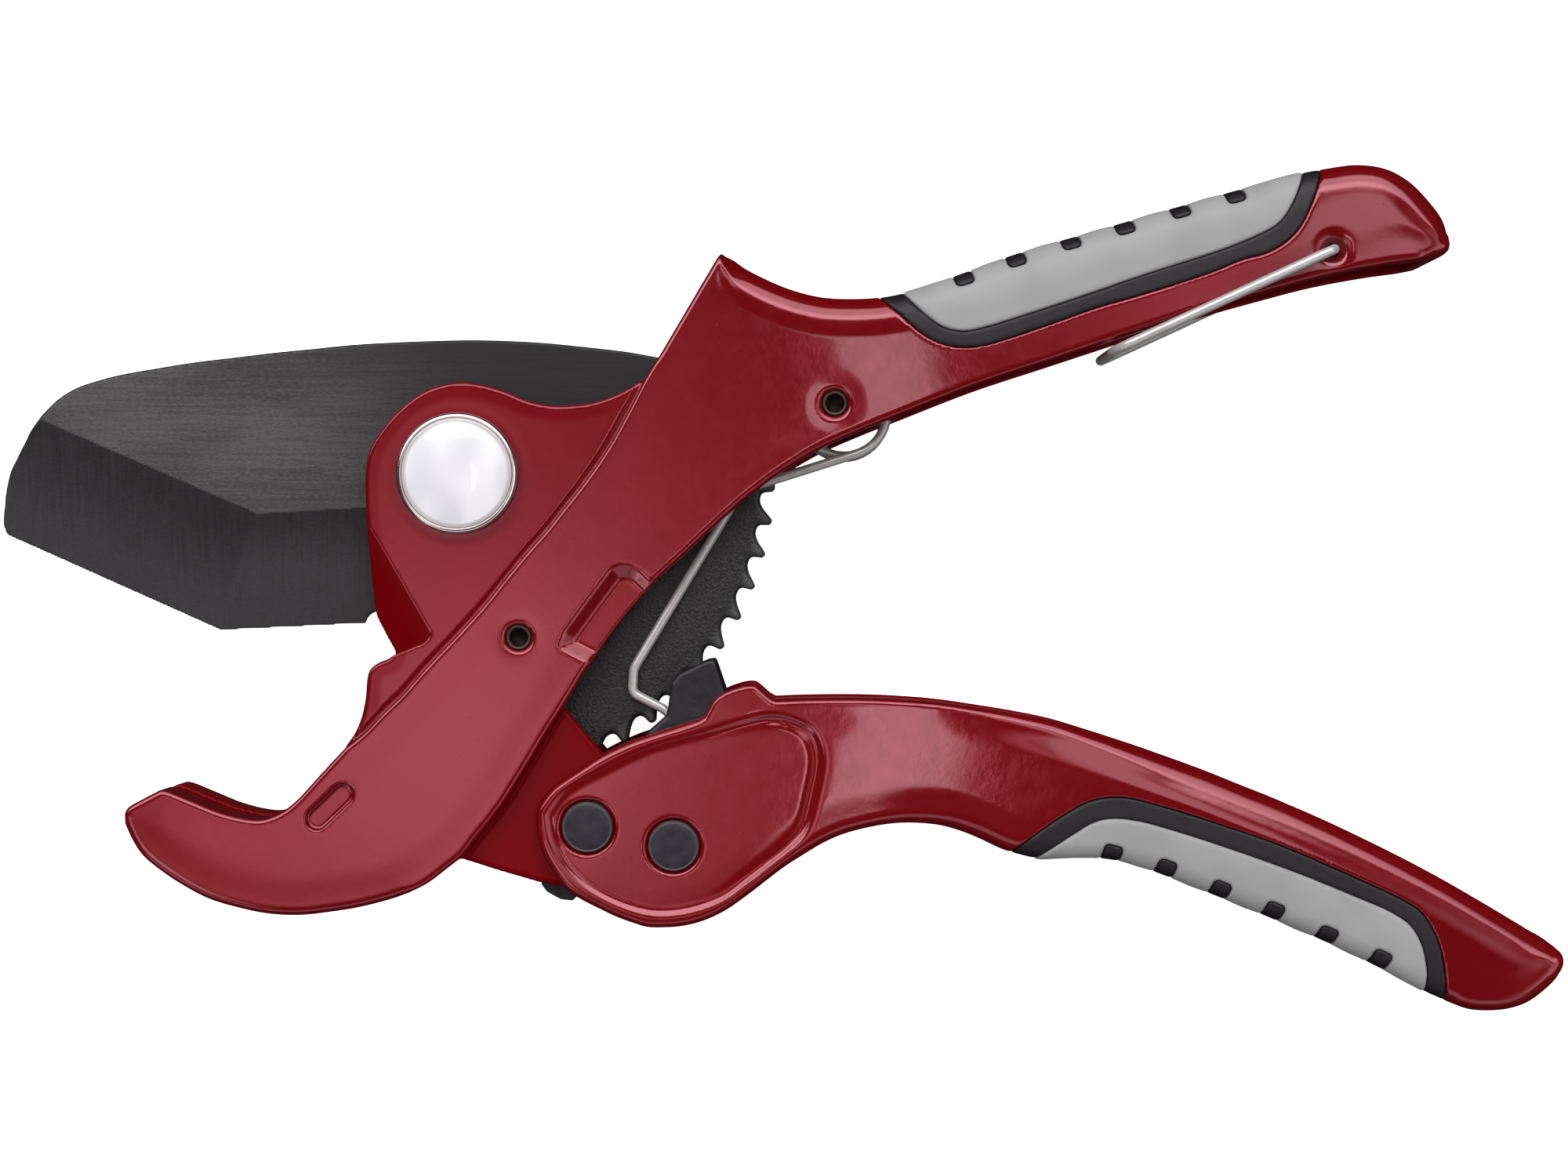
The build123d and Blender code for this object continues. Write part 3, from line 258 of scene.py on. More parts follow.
# ------------------------------------------------------------ distance fields
class Grid:
    """Sampling grid in millimetres with a plane of nodes on z = 0."""

    def __init__(self, low, high, step, layers=None):
        line_x, line_y = (
            (low[i] + step * np.arange(int(math.ceil((high[i] - low[i]) / step)) + 1))
            .astype(np.float32) for i in (0, 1))
        if layers:
            change, below, above = layers
            half = np.linspace(0, change, max(1, round(change / below)) + 1)
            count = math.ceil((high[2] - change) / above)
            half = np.concatenate([half, change + above * np.arange(1, count + 1)])
            line_z = np.concatenate([-half[:0:-1], half])
        else:
            above = step
            line_z = step * np.arange(math.floor(low[2] / step), math.ceil(high[2] / step) + 1)
        self.lines = (line_x, line_y, line_z.astype(np.float32))
        self.spacing = (step, step, above)
        # x and y are single layers, z is a single column: they broadcast together
        self.x, self.y = (plane[:, :, None]
                          for plane in np.meshgrid(line_x, line_y, indexing="ij"))
        self.z = self.lines[2][None, None, :]
        self.height = np.abs(self.z)

    def squared(self, start_x, start_y, along_x, along_y, length2):
        """Squared distance to a segment, and the offsets from its start."""
        from_x, from_y = self.x - start_x, self.y - start_y
        t = np.clip((from_x * along_x + from_y * along_y) / length2, 0, 1)
        gap_x, gap_y = from_x - along_x * t, from_y - along_y * t
        return gap_x * gap_x + gap_y * gap_y, from_x, from_y

    def outline(self, points):
        """Signed distance to a closed polygon, negative inside."""
        points = np.asarray(points, np.float32)
        best = np.full(self.x.shape, 1e9, np.float32)
        inside = np.zeros(self.x.shape, bool)
        for (x0, y0), (x1, y1) in zip(points, np.roll(points, -1, 0)):
            along_x, along_y = x1 - x0, y1 - y0
            length2 = along_x * along_x + along_y * along_y
            if length2 < 1e-10:
                continue
            gap2, from_x, from_y = self.squared(x0, y0, along_x, along_y, length2)
            np.minimum(best, gap2, out=best)
            if abs(along_y) > 1e-9:
                first, last = np.searchsorted(self.lines[1], [min(y0, y1), max(y0, y1)])
                rows = slice(first, last)
                inside[:, rows] ^= from_x[:, rows] < from_y[:, rows] * (along_x / along_y)
        distance = np.sqrt(best)
        return np.where(inside, -distance, distance)

    def from_run(self, points):
        """Distance to an open run of points."""
        points = np.asarray(points, np.float32)
        best = np.full(self.x.shape, 1e9, np.float32)
        for (x0, y0), (x1, y1) in zip(points[:-1], points[1:]):
            along_x, along_y = x1 - x0, y1 - y0
            length2 = max(along_x * along_x + along_y * along_y, 1e-10)
            np.minimum(best, self.squared(x0, y0, along_x, along_y, length2)[0], out=best)
        return np.sqrt(best)

    def radius(self, centre):
        """Distance to the vertical line through the centre."""
        return np.hypot(self.x - centre[0], self.y - centre[1])

    def rounded_box(self, centre, angle, half_size, corner):
        sine, cosine = math.sin(math.radians(angle)), math.cos(math.radians(angle))
        along = (self.x - centre[0]) * cosine + (self.y - centre[1]) * sine
        across = -(self.x - centre[0]) * sine + (self.y - centre[1]) * cosine
        past_x = np.abs(along) - half_size[0] + corner
        past_y = np.abs(across) - half_size[1] + corner
        return (np.hypot(np.maximum(past_x, 0), np.maximum(past_y, 0))
                + np.minimum(np.maximum(past_x, past_y), 0) - corner)

    def prism(self, outline, half_height, rounding):
        """Solid of an outline, with its edges rounded."""
        side = outline + rounding
        top = self.height - (half_height - rounding)
        return (np.minimum(np.maximum(side, top), 0)
                + np.hypot(np.maximum(side, 0), np.maximum(top, 0)) - rounding)


def ease(value, start, end):
    """Smooth step from 0 at start to 1 at end."""
    t = np.clip((value - start) / (end - start), 0, 1)
    return t * t * (3 - 2 * t)


def hump(value, centre, width):
    return np.exp(-((value - centre) / width) ** 2)


def join(first, second, soft):
    """Either solid, with a soft inner corner."""
    share = np.clip(0.5 + 0.5 * (second - first) / soft, 0, 1)
    return second + (first - second) * share - soft * share * (1 - share)


def overlap(first, second, soft):
    """Where both solids are, with a soft edge."""
    return -join(-first, -second, soft)


def carve(solid, tool, soft=0.0):
    """The solid without the tool."""
    return overlap(solid, -tool, soft) if soft else np.maximum(solid, -tool)


def drill(grid, solid, *holes):
    """Upright round holes, each a (centre, radius)."""
    for centre, radius in holes:
        solid = carve(solid, grid.radius(centre) - radius)
    return solid


# -------------------------------------------------------------------- meshing
CORNERS = [(x, y, z) for z in (0, 1) for y in (0, 1) for x in (0, 1)]
CELL_EDGES = [(i, i + bit) for bit in (1, 2, 4) for i in range(8) if not i & bit]


def surface_net(grid, field):
    """Surface where the field is 0, as vertices (mm) and quads."""
    field = np.ascontiguousarray(field, dtype=np.float32)
    for axis in range(3):
        border = [slice(None)] * 3
        border[axis] = [0, -1]
        border = tuple(border)
        field[border] = np.maximum(field[border], 0.01)
    inside = field < 0
    shape = tuple(size - 1 for size in field.shape)
    count = np.zeros(shape, np.uint8)
    for x, y, z in CORNERS:
        count += inside[x:x + shape[0], y:y + shape[1], z:z + shape[2]]
    crossed = (count > 0) & (count < 8)
    cells = np.argwhere(crossed)
    index = np.full(shape, -1, np.int32)
    index[crossed] = np.arange(len(cells), dtype=np.int32)

    # one vertex per crossed cell, at the mean of the crossings on its edges
    values = [field[cells[:, 0] + x, cells[:, 1] + y, cells[:, 2] + z] for x, y, z in CORNERS]
    total = np.zeros((len(cells), 3), np.float64)
    crossings = np.zeros(len(cells))
    for start, end in CELL_EDGES:
        at_start, at_end = values[start], values[end]
        hit = (at_start < 0) != (at_end < 0)
        t = np.where(hit, at_start / np.where(hit, at_start - at_end, 1), 0)
        corner, other = np.array(CORNERS[start], float), np.array(CORNERS[end], float)
        total += np.where(hit[:, None], corner + (other - corner) * t[:, None], 0)
        crossings += hit
    place = cells + total / crossings[:, None]
    line_x, line_y, line_z = grid.lines
    vertices = np.stack([line_x[0] + grid.spacing[0] * place[:, 0],
                         line_y[0] + grid.spacing[1] * place[:, 1],
                         np.interp(place[:, 2], np.arange(len(line_z)), line_z)], 1)

    # one quad round each grid edge that crosses the surface
    quads = []
    for axis in range(3):
        side, other_side = (axis + 1) % 3, (axis + 2) % 3
        lower = [slice(1, -1)] * 3
        upper = [slice(1, -1)] * 3
        lower[axis] = slice(0, -1)
        upper[axis] = slice(1, None)
        lower, upper = inside[tuple(lower)], inside[tuple(upper)]
        edges = np.argwhere(lower != upper)
        offset = np.ones(3, int)
        offset[axis] = 0
        loop = []
        for back, other_back in ((1, 1), (0, 1), (0, 0), (1, 0)):
            cell = edges + offset
            cell[:, side] -= back
            cell[:, other_side] -= other_back
            loop.append(index[tuple(cell.T)])
        loop = np.stack(loop, 1)
        flip = upper[tuple(edges.T)]
        loop[flip] = loop[flip][:, ::-1]
        quads.append(loop)
    return vertices, np.vstack(quads)


def main_island(vertices, quads):
    """Only the connected piece with the most vertices."""
    edges = np.vstack([quads[:, [i, (i + 1) % 4]] for i in range(4)])
    label = np.arange(len(vertices))
    while True:
        first, second = label[edges[:, 0]], label[edges[:, 1]]
        differ = first != second
        if not differ.any():
            break
        np.minimum.at(label, np.maximum(first, second)[differ],
                      np.minimum(first, second)[differ])
        while True:
            shorter = label[label]
            if (shorter == label).all():
                break
            label = shorter
    islands, sizes = np.unique(label, return_counts=True)
    quads = quads[label[quads[:, 0]] == islands[sizes.argmax()]]
    used = np.unique(quads)
    renumber = np.full(len(vertices), -1)
    renumber[used] = np.arange(len(used))
    return vertices[used], renumber[quads]


def sample(grid, field, points):
    """Field values at the points, linear between the nodes."""
    line_x, line_y, line_z = grid.lines
    place = np.stack([(points[:, 0] - line_x[0]) / grid.spacing[0],
                      (points[:, 1] - line_y[0]) / grid.spacing[1],
                      np.interp(points[:, 2], line_z, np.arange(len(line_z)))], 1)
    place = np.clip(place, 0, np.array(field.shape) - 1.001)
    cell = place.astype(int)
    part = place - cell
    total = np.zeros(len(points))
    for corner in CORNERS:
        weight = 1.0
        for axis in range(3):
            weight = weight * (part[:, axis] if corner[axis] else 1 - part[:, axis])
        total += weight * field[tuple((cell + corner).T)]
    return total


def slope(grid, field, points):
    reach = 0.5 * min(grid.spacing)
    return np.stack([(sample(grid, field, points + offset) - sample(grid, field, points - offset))
                     / (2 * reach) for offset in reach * np.eye(3)], 1)


def settle(grid, field, vertices):
    """Moves the vertices onto the surface, by at most half a step."""
    start = vertices
    step = min(grid.spacing)
    for _ in range(2):
        normal = slope(grid, field, vertices)
        length2 = (normal * normal).sum(1)
        move = -(sample(grid, field, vertices) / np.maximum(length2, 0.15))[:, None] * normal
        vertices = vertices + np.clip(move, -0.3 * step, 0.3 * step)
        vertices = start + np.clip(vertices - start, -0.5 * step, 0.5 * step)
    return vertices


def inside_out(vertices, triangles):
    """Whether the signed volume inside the triangles is negative."""
    first, second, third = (vertices[triangles[:, i]] for i in range(3))
    return (first * np.cross(second, third)).sum() < 0


def add_object(mesh, material):
    part = bpy.data.objects.new(mesh.name, mesh)
    bpy.context.scene.collection.objects.link(part)
    mesh.materials.append(material)
    mesh.shade_smooth()
    return part


def from_field(name, grid, field, material):
    vertices, quads = main_island(*surface_net(grid, field))
    vertices = settle(grid, field, vertices)
    if inside_out(vertices, np.vstack([quads[:, [0, 1, 2]], quads[:, [0, 2, 3]]])):
        quads = np.ascontiguousarray(quads[:, ::-1])
    mesh = bpy.data.meshes.new(name)
    mesh.vertices.add(len(vertices))
    mesh.vertices.foreach_set("co", (vertices * MM).astype(np.float32).ravel())
    mesh.loops.add(quads.size)
    mesh.loops.foreach_set("vertex_index", quads.astype(np.int32).ravel())
    mesh.polygons.add(len(quads))
    mesh.polygons.foreach_set("loop_start", (np.arange(len(quads)) * 4).astype(np.int32))
    mesh.update(calc_edges=True)
    return add_object(mesh, material)


def from_faces(name, vertices, faces, material, sharp):
    """Mesh from vertices in mm; edges bent by more than sharp degrees stay sharp."""
    vertices = np.asarray(vertices, float)
    fans = [(face[0], face[i], face[i + 1]) for face in faces for i in range(1, len(face) - 1)]
    if inside_out(vertices, np.array(fans)):
        faces = [tuple(reversed(face)) for face in faces]
    mesh = bpy.data.meshes.new(name)
    mesh.from_pydata([tuple(point) for point in vertices * MM], [], faces)
    mesh.update()
    mesh.validate()
    part = add_object(mesh, material)
    mesh.set_sharp_from_angle(angle=math.radians(sharp))
    return part


def lathe(name, centre, profile, material, segments, sharp=35.0):
    """Solid turned about the vertical through centre; profile is (radius, z), axis to axis."""
    vertices, rings, faces = [], [], []
    for radius, z in profile:
        start = len(vertices)
        if radius < 1e-6:
            vertices.append((*centre, z))
        else:
            vertices += [(*polar(radius, 360 * i / segments, centre), z) for i in range(segments)]
        rings.append(range(start, len(vertices)))
    for ring, after in zip(rings[:-1], rings[1:]):
        for i in range(segments):
            j = (i + 1) % segments
            if len(ring) == 1:
                faces.append((ring[0], after[i], after[j]))
            elif len(after) == 1:
                faces.append((ring[j], ring[i], after[0]))
            else:
                faces.append((ring[j], ring[i], after[i], after[j]))
    return from_faces(name, vertices, faces, material, sharp)


def bent(corners, radii, fineness):
    """Path through the corners, with an arc of the given radius at each inner one."""
    corners = [np.array(corner, float) for corner in corners]
    path = [corners[0]]
    for before, corner, after, radius in zip(corners, corners[1:], corners[2:], radii):
        back, ahead = before - corner, after - corner
        back_length, ahead_length = np.linalg.norm(back), np.linalg.norm(ahead)
        back, ahead = back / back_length, ahead / ahead_length
        angle = math.acos(float(back @ ahead))
        cut_back = min(radius / math.tan(angle / 2), 0.49 * back_length, 0.49 * ahead_length)
        radius = cut_back * math.tan(angle / 2)
        middle = (back + ahead) / np.linalg.norm(back + ahead)
        centre = corner + middle * (radius / math.sin(angle / 2))
        start = corner + back * cut_back - centre
        end = corner + ahead * cut_back - centre
        sweep = math.pi - angle
        count = max(2, int(fineness * sweep / 1.5) + 1)
        for k in range(count + 1):
            t = k / count
            path.append(centre + (math.sin((1 - t) * sweep) * start
                                  + math.sin(t * sweep) * end) / math.sin(sweep))
    path.append(corners[-1])
    return np.array(path)


def tube(name, path, radius, material, sides):
    """Round wire along a path, with slightly domed ends."""
    path = np.array(path, float)
    keep = [0] + [i for i in range(1, len(path)) if np.linalg.norm(path[i] - path[i - 1]) > 1e-4]
    path = path[keep]
    tangents = np.zeros_like(path)
    tangents[1:-1] = path[2:] - path[:-2]
    tangents[0], tangents[-1] = path[1] - path[0], path[-1] - path[-2]
    tangents /= np.linalg.norm(tangents, axis=1)[:, None]

    # carry one sideways direction along the path, so that the wire does not twist
    level = abs(tangents[0][2]) < 0.9
    side = np.cross(tangents[0], np.array([0, 0, 1.0]) if level else np.array([1.0, 0, 0]))
    frames = []
    for tangent in tangents:
        side = side - tangent * (side @ tangent)
        side = side / np.linalg.norm(side)
        frames.append((side, np.cross(tangent, side)))

    domes = [(radius * 0.5 * (1 - math.sin(math.radians(angle))),
              radius * math.sin(math.radians(angle + 20))) for angle in (30, 60)]
    rings = [(path[0] - tangents[0] * out, frames[0], size) for out, size in domes]
    rings += [(point, axes, radius) for point, axes in zip(path, frames)]
    rings += [(path[-1] + tangents[-1] * out, frames[-1], size) for out, size in domes[::-1]]
    circle = [polar(1.0, 360 * i / sides) for i in range(sides)]
    vertices = [centre + size * (x * side + y * up)
                for centre, (side, up), size in rings for x, y in circle]
    faces = []
    for start in range(0, len(vertices) - sides, sides):
        for i in range(sides):
            j = (i + 1) % sides
            faces.append((start + i, start + j, start + sides + j, start + sides + i))
    faces.append(tuple(reversed(range(sides))))
    faces.append(tuple(range(len(vertices) - sides, len(vertices))))
    return from_faces(name, vertices, faces, material, sharp=50.0)


def install(part, body, node):
    """Fixes a part to its moving body, in place of a CAD node."""
    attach(part, body)
    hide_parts(node)


# --------------------------------------------------------------- shader tools
class Signal:
    """A shader output that can be used in arithmetic."""

    def __init__(self, shader, socket):
        self.shader = shader
        self.socket = socket

    def also(self, output):
        """Another output of the same node."""
        return Signal(self.shader, self.socket.node.outputs[output])

    def xyz(self):
        split = self.shader.node("SeparateXYZ", {0: self})
        return [split.also(axis) for axis in "XYZ"]

    def calc(self, operation, other=0.0):
        return self.shader.node("Math", {0: self, 1: other}, operation=operation)

    def __add__(self, other):
        return self.calc("ADD", other)

    def __sub__(self, other):
        return self.calc("SUBTRACT", other)

    def __rsub__(self, other):
        return self.shader.node("Math", {0: other, 1: self}, operation="SUBTRACT")

    def __mul__(self, other):
        return self.calc("MULTIPLY", other)

    def __truediv__(self, other):
        return self.calc("DIVIDE", other)

    def __pow__(self, other):
        return self.calc("POWER", other)

    def __abs__(self):
        return self.calc("ABSOLUTE")

    def ramp(self, over=(0.3, 0.7), to=(0.0, 1.0)):
        """Smooth step over a range of input, to a range of output."""
        inputs = dict(enumerate((self, *over, *to)))
        return self.shader.node("MapRange", inputs, interpolation_type="SMOOTHSTEP")


class Shader:
    """Node tree of a material or a world."""

    def __init__(self, owner, output="OutputMaterial"):
        self.owner = owner
        owner.use_nodes = True
        self.tree = owner.node_tree
        self.tree.nodes.clear()
        self.end = self.tree.nodes.new("ShaderNode" + output)

    def plug(self, socket, value):
        if isinstance(value, Signal):
            self.tree.links.new(value.socket, socket)
        elif isinstance(value, tuple) and len(value) < len(socket.default_value):
            socket.default_value = (*value, 1.0)
        else:
            socket.default_value = value

    def node(self, kind, inputs=None, output=0, **settings):
        """New node with its settings and inputs; gives one of its outputs."""
        node = self.tree.nodes.new("ShaderNode" + kind)
        for name, value in settings.items():
            setattr(node, name, value)
        for key, value in (inputs or {}).items():
            self.plug(node.inputs[key], value)
        return Signal(self, node.outputs[output])

    def position(self, stretch=(1, 1, 1), turn=0.0, shift=(0, 0, 0)):
        """Object coordinates in millimetres, scaled, turned about z (radians) and shifted."""
        return self.node("Mapping", {
            "Vector": self.node("TexCoord", output="Object"), "Location": shift,
            "Rotation": (0, 0, turn), "Scale": tuple(factor / MM for factor in stretch)})

    def axis_distance(self):
        x, y, _ = self.position().xyz()
        return (x * x + y * y).calc("SQRT")

    def noise(self, scale, detail=3.0, rough=0.5, **mapping):
        return self.node("TexNoise", {"Vector": self.position(**mapping), "Scale": scale,
                                      "Detail": detail, "Roughness": rough})

    def mix(self, factor, first, second):
        """First colour where the factor is 0, second where it is 1."""
        return self.node("Mix", {0: factor, 6: first, 7: second}, output=2, data_type="RGBA")

    def mix_shader(self, factor, first, second):
        return self.node("MixShader", {0: factor, 1: first, 2: second})

    def bump(self, height, depth, strength=1.0, below=None):
        """Relief of a depth in millimetres, over the relief below."""
        inputs = {"Strength": strength, "Distance": depth * MM, "Height": height}
        if below:
            inputs["Normal"] = below
        return self.node("Bump", inputs)

    def edge_wear_and_sheen(self, radius, full=0.14):
        """0 on flats, 1 where the surface bends sharply within a radius in millimetres."""
        bevel = self.node("Bevel", {"Radius": radius * MM}, samples=4)
        normal = self.node("NewGeometry", output="Normal")
        facing = self.node("VectorMath", {0: bevel, 1: normal}, "Value", operation="DOT_PRODUCT")
        return (1.0 - facing).ramp((0.02, full))

    def finish(self, result):
        self.plug(self.end.inputs[0], result)
        return self.owner

    def principled(self, **inputs):
        inputs = {name.replace("_", " "): value for name, value in inputs.items()}
        return self.finish(self.node("BsdfPrincipled", inputs))


def new_material(name):
    return Shader(bpy.data.materials.new(name))


def srgb(*channels):
    """Linear colour from red, green and blue of 0 to 255."""
    return tuple(c / 255 / 12.92 if c <= 10.3 else ((c / 255 + 0.055) / 1.055) ** 2.4
                 for c in channels)


# ------------------------------------------------------------------ materials
def red_enamel():
    mat = new_material("red_enamel")
    specks = mat.noise(scale=1.1, detail=1.0, shift=(7, 3, 1))
    pits = specks.ramp((0.79, 0.84))
    normal = mat.bump(mat.noise(scale=0.055, detail=2.0), depth=0.07)
    normal = mat.bump(mat.noise(scale=0.75, detail=2.0), depth=0.010, below=normal)
    normal = mat.bump(mat.noise(scale=3.2), depth=0.0016, below=normal)
    normal = mat.bump(pits, depth=-0.05, below=normal)
    tone = mat.noise(scale=0.03, shift=(3, 9, 2)).ramp()
    colour = mat.mix(tone, srgb(108, 2, 8), srgb(116, 3, 11))
    colour = mat.mix(pits, colour, srgb(60, 4, 7))
    mottle = mat.noise(scale=0.35, detail=4.0, rough=0.6, shift=(5, 5, 5))
    # reflections cut down in the recessed lug and slots: painted shade of the recesses
    z = mat.position().xyz()[2]
    shaded_gloss = abs(z).ramp((6.0, 9.3)) * 0.90 + 0.10
    even = mottle.ramp((0.25, 0.8), to=(0.92, 1.06))
    return mat.principled(
        Base_Color=colour, Roughness=mottle.ramp((0.3, 0.75), to=(0.07, 0.13)), Normal=normal,
        IOR=1.6, Specular_IOR_Level=shaded_gloss * even * 0.85, Specular_Tint=(1.0, 0.22, 0.31),
        Coat_Weight=shaded_gloss * 0.80, Coat_Roughness=0.035, Coat_IOR=1.5)


def blade_steel():
    mat = new_material("blade_steel")
    x, y, _ = mat.position().xyz()
    # long grinding lines along the flat, short ones across the bevels
    long_lines = mat.noise(scale=1.6, detail=5.0, rough=0.62, stretch=(0.035, 0.9, 0.9),
                           turn=math.radians(2.0))
    finer_lines = mat.noise(scale=1.3, detail=4.0, rough=0.6, stretch=(0.12, 2.2, 2.2),
                            turn=math.radians(-3.0), shift=(4, 2, 1))
    tip_lines = mat.noise(scale=1.7, detail=4.0, rough=0.65, stretch=(1.5, 0.07, 0.07),
                          turn=math.radians(24.0))
    heel_lines = mat.noise(scale=1.7, detail=4.0, rough=0.65, stretch=(1.6, 0.05, 0.05),
                           shift=(9, 1, 0))
    normal_z = mat.node("NewGeometry", output="True Normal").xyz()[2]
    on_flat = abs(normal_z).ramp((0.99905, 0.99975))
    # 0 on the bevel by the tip, 1 on the bevel by the heel
    by_heel = (x * 0.949 + y * -0.315).ramp((-30.0, -29.0))
    marks = mat.mix(on_flat, mat.mix(by_heel, tip_lines, heel_lines),
                    mat.mix(0.45, long_lines, finer_lines))
    cloud = mat.noise(scale=0.09, stretch=(0.35, 1.0, 1.0))
    grain = mat.noise(scale=2.6, rough=0.7, stretch=(0.5, 1.3, 1.3), turn=0.06)
    light = (marks * 0.5 + cloud * 0.5) * 0.62 + grain * 0.38
    flat = mat.mix(light.ramp((0.38, 0.62)), srgb(60, 60, 61), srgb(92, 92, 93))
    # darker towards the pivot and the tang: painted shade of the body over the blade
    flat = mat.mix((x + y * 0.9).ramp((-32.0, 24.0)), flat, srgb(40, 40, 41))
    # bevels: dark under the ridge, lighter towards the cutting edge
    tip_low = (x * 0.399 + y * 0.917).ramp((-37.5, -19.0), to=(1.0, 0.0))
    heel_low = (x * 0.055 + y * 0.998).ramp((-17.0, -7.0), to=(1.0, 0.0))
    low = by_heel * heel_low + (1.0 - by_heel) * tip_low
    lighter = low * 0.62 + light.ramp((0.36, 0.66)) * 0.38
    bevel = mat.mix(lighter, srgb(30, 30, 32), srgb(64, 64, 66))
    return mat.principled(Base_Color=mat.mix(on_flat, bevel, flat), Metallic=0.55,
                          Roughness=marks.ramp(to=(0.36, 0.52)),
                          Normal=mat.bump(marks, depth=0.022, strength=0.8))


def black_casting():
    mat = new_material("black_casting")
    grain = mat.noise(scale=2.6, detail=4.0, rough=0.65)
    lumps = mat.node("TexVoronoi", feature="SMOOTH_F1")
    mat.plug(lumps.socket.node.inputs["Vector"], mat.position())
    mat.plug(lumps.socket.node.inputs["Scale"], 2.5)
    broad = mat.noise(scale=0.16, detail=2.0)
    normal = mat.bump(lumps, depth=0.09, strength=0.9)
    normal = mat.bump(grain, depth=0.04, strength=0.9, below=normal)
    normal = mat.bump(broad, depth=0.12, below=normal)
    patches = mat.noise(scale=0.07, detail=2.0, shift=(8, 1, 3)).ramp((0.35, 0.65))
    colour = mat.mix(grain.ramp((0.38, 0.64)), srgb(13, 13, 14), srgb(50, 50, 51))
    colour = mat.mix(patches * 0.5, colour, srgb(26, 26, 27))
    # lighter towards the tooth tips and on the sharp edges: painted highlight, with some rubbing
    # wear
    tips = mat.axis_distance().ramp((46.6, 48.8)) * broad.ramp((0.3, 0.6), to=(0.35, 0.75))
    colour = mat.mix(tips, colour, srgb(88, 88, 89))
    colour = mat.mix(mat.edge_wear_and_sheen(radius=0.8), colour, srgb(126, 126, 126))
    return mat.principled(Base_Color=colour, Roughness=grain.ramp(to=(0.34, 0.5)),
                          Normal=normal, Metallic=0.25)


def worn_metal(name, grain_scale, grain_depth, colours, edge_colour, edge, rough, metallic,
               patches=None, swell=None):
    """Dark metal with rubbed edges.

    The colour follows the patches, or the grain if there are none; swell is the depth of a
    relief that follows the patches.
    """
    mat = new_material(name)
    grain = mat.noise(scale=grain_scale, detail=4.0, rough=0.6)
    tone = mat.noise(**patches) if patches else grain
    colour = mat.mix(tone.ramp(), *(srgb(*each) for each in colours))
    colour = mat.mix(mat.edge_wear_and_sheen(**edge), colour, srgb(*edge_colour))
    below = mat.bump(tone, depth=swell) if swell else None
    return mat.principled(Base_Color=colour, Roughness=grain.ramp(to=rough), Metallic=metallic,
                          Normal=mat.bump(grain, depth=grain_depth, below=below))


def bright_chrome():
    mat = new_material("bright_chrome")
    tone = (0.78, 0.76, 0.75)
    brushed = mat.noise(scale=3.0, stretch=(1, 1, 6))
    colour = mat.mix(mat.noise(scale=0.9).ramp(), tuple(0.92 * part for part in tone), tone)
    return mat.principled(Base_Color=colour, Metallic=1.0,
                          Roughness=brushed.ramp(to=(0.10, 0.20)),
                          Normal=mat.bump(brushed, depth=0.003))


def badge_white():
    mat = new_material("badge_white")
    # colour in broad soft bands across the badge: painted reflection
    waves = mat.noise(scale=0.10, detail=1.0, stretch=(1, 0.35, 1), turn=0.5)
    colour = mat.mix(waves.ramp((0.42, 0.58)), srgb(230, 230, 238), srgb(250, 250, 254))
    # greyer towards the edge of the disc: painted shade where the dome falls away
    rim = mat.axis_distance().ramp((7.7, 8.25))
    colour = mat.mix(rim, colour, srgb(196, 190, 190))
    return mat.principled(Base_Color=colour, Roughness=0.3, Metallic=0.0,
                          Specular_IOR_Level=0.5, Coat_Weight=1.0, Coat_Roughness=0.04,
                          Normal=mat.bump(mat.noise(scale=3.0, detail=2.0), depth=0.0015))


def wire(name, tone):
    mat = new_material(name)
    streaks = mat.noise(scale=2.2, detail=4.0, rough=0.6, stretch=(0.25, 0.25, 1))
    dirt = mat.noise(scale=0.25).ramp((0.55, 0.8))
    colour = mat.mix(streaks.ramp(), (tone * 0.93, tone * 0.90, tone * 0.91),
                     (tone, tone * 0.975, tone * 0.975))
    colour = mat.mix(dirt * 0.18, colour, (0.3, 0.27, 0.25))
    return mat.principled(Base_Color=colour, Metallic=0.35, Specular_IOR_Level=0.6,
                          Roughness=streaks.ramp(to=(0.20, 0.30)),
                          Normal=mat.bump(streaks, depth=0.002))


def rubber(name, first, second, rough):
    mat = new_material(name)
    grain = mat.noise(scale=3.6, detail=4.0, rough=0.6)
    waves = mat.noise(scale=0.12, detail=2.0, shift=(1, 2, 3))
    normal = mat.bump(grain, depth=0.012)
    normal = mat.bump(waves, depth=0.10, below=normal)
    return mat.principled(Base_Color=mat.mix(waves.ramp(), srgb(*first), srgb(*second)),
                          Roughness=grain.ramp(to=rough), Normal=normal,
                          Specular_IOR_Level=0.45)


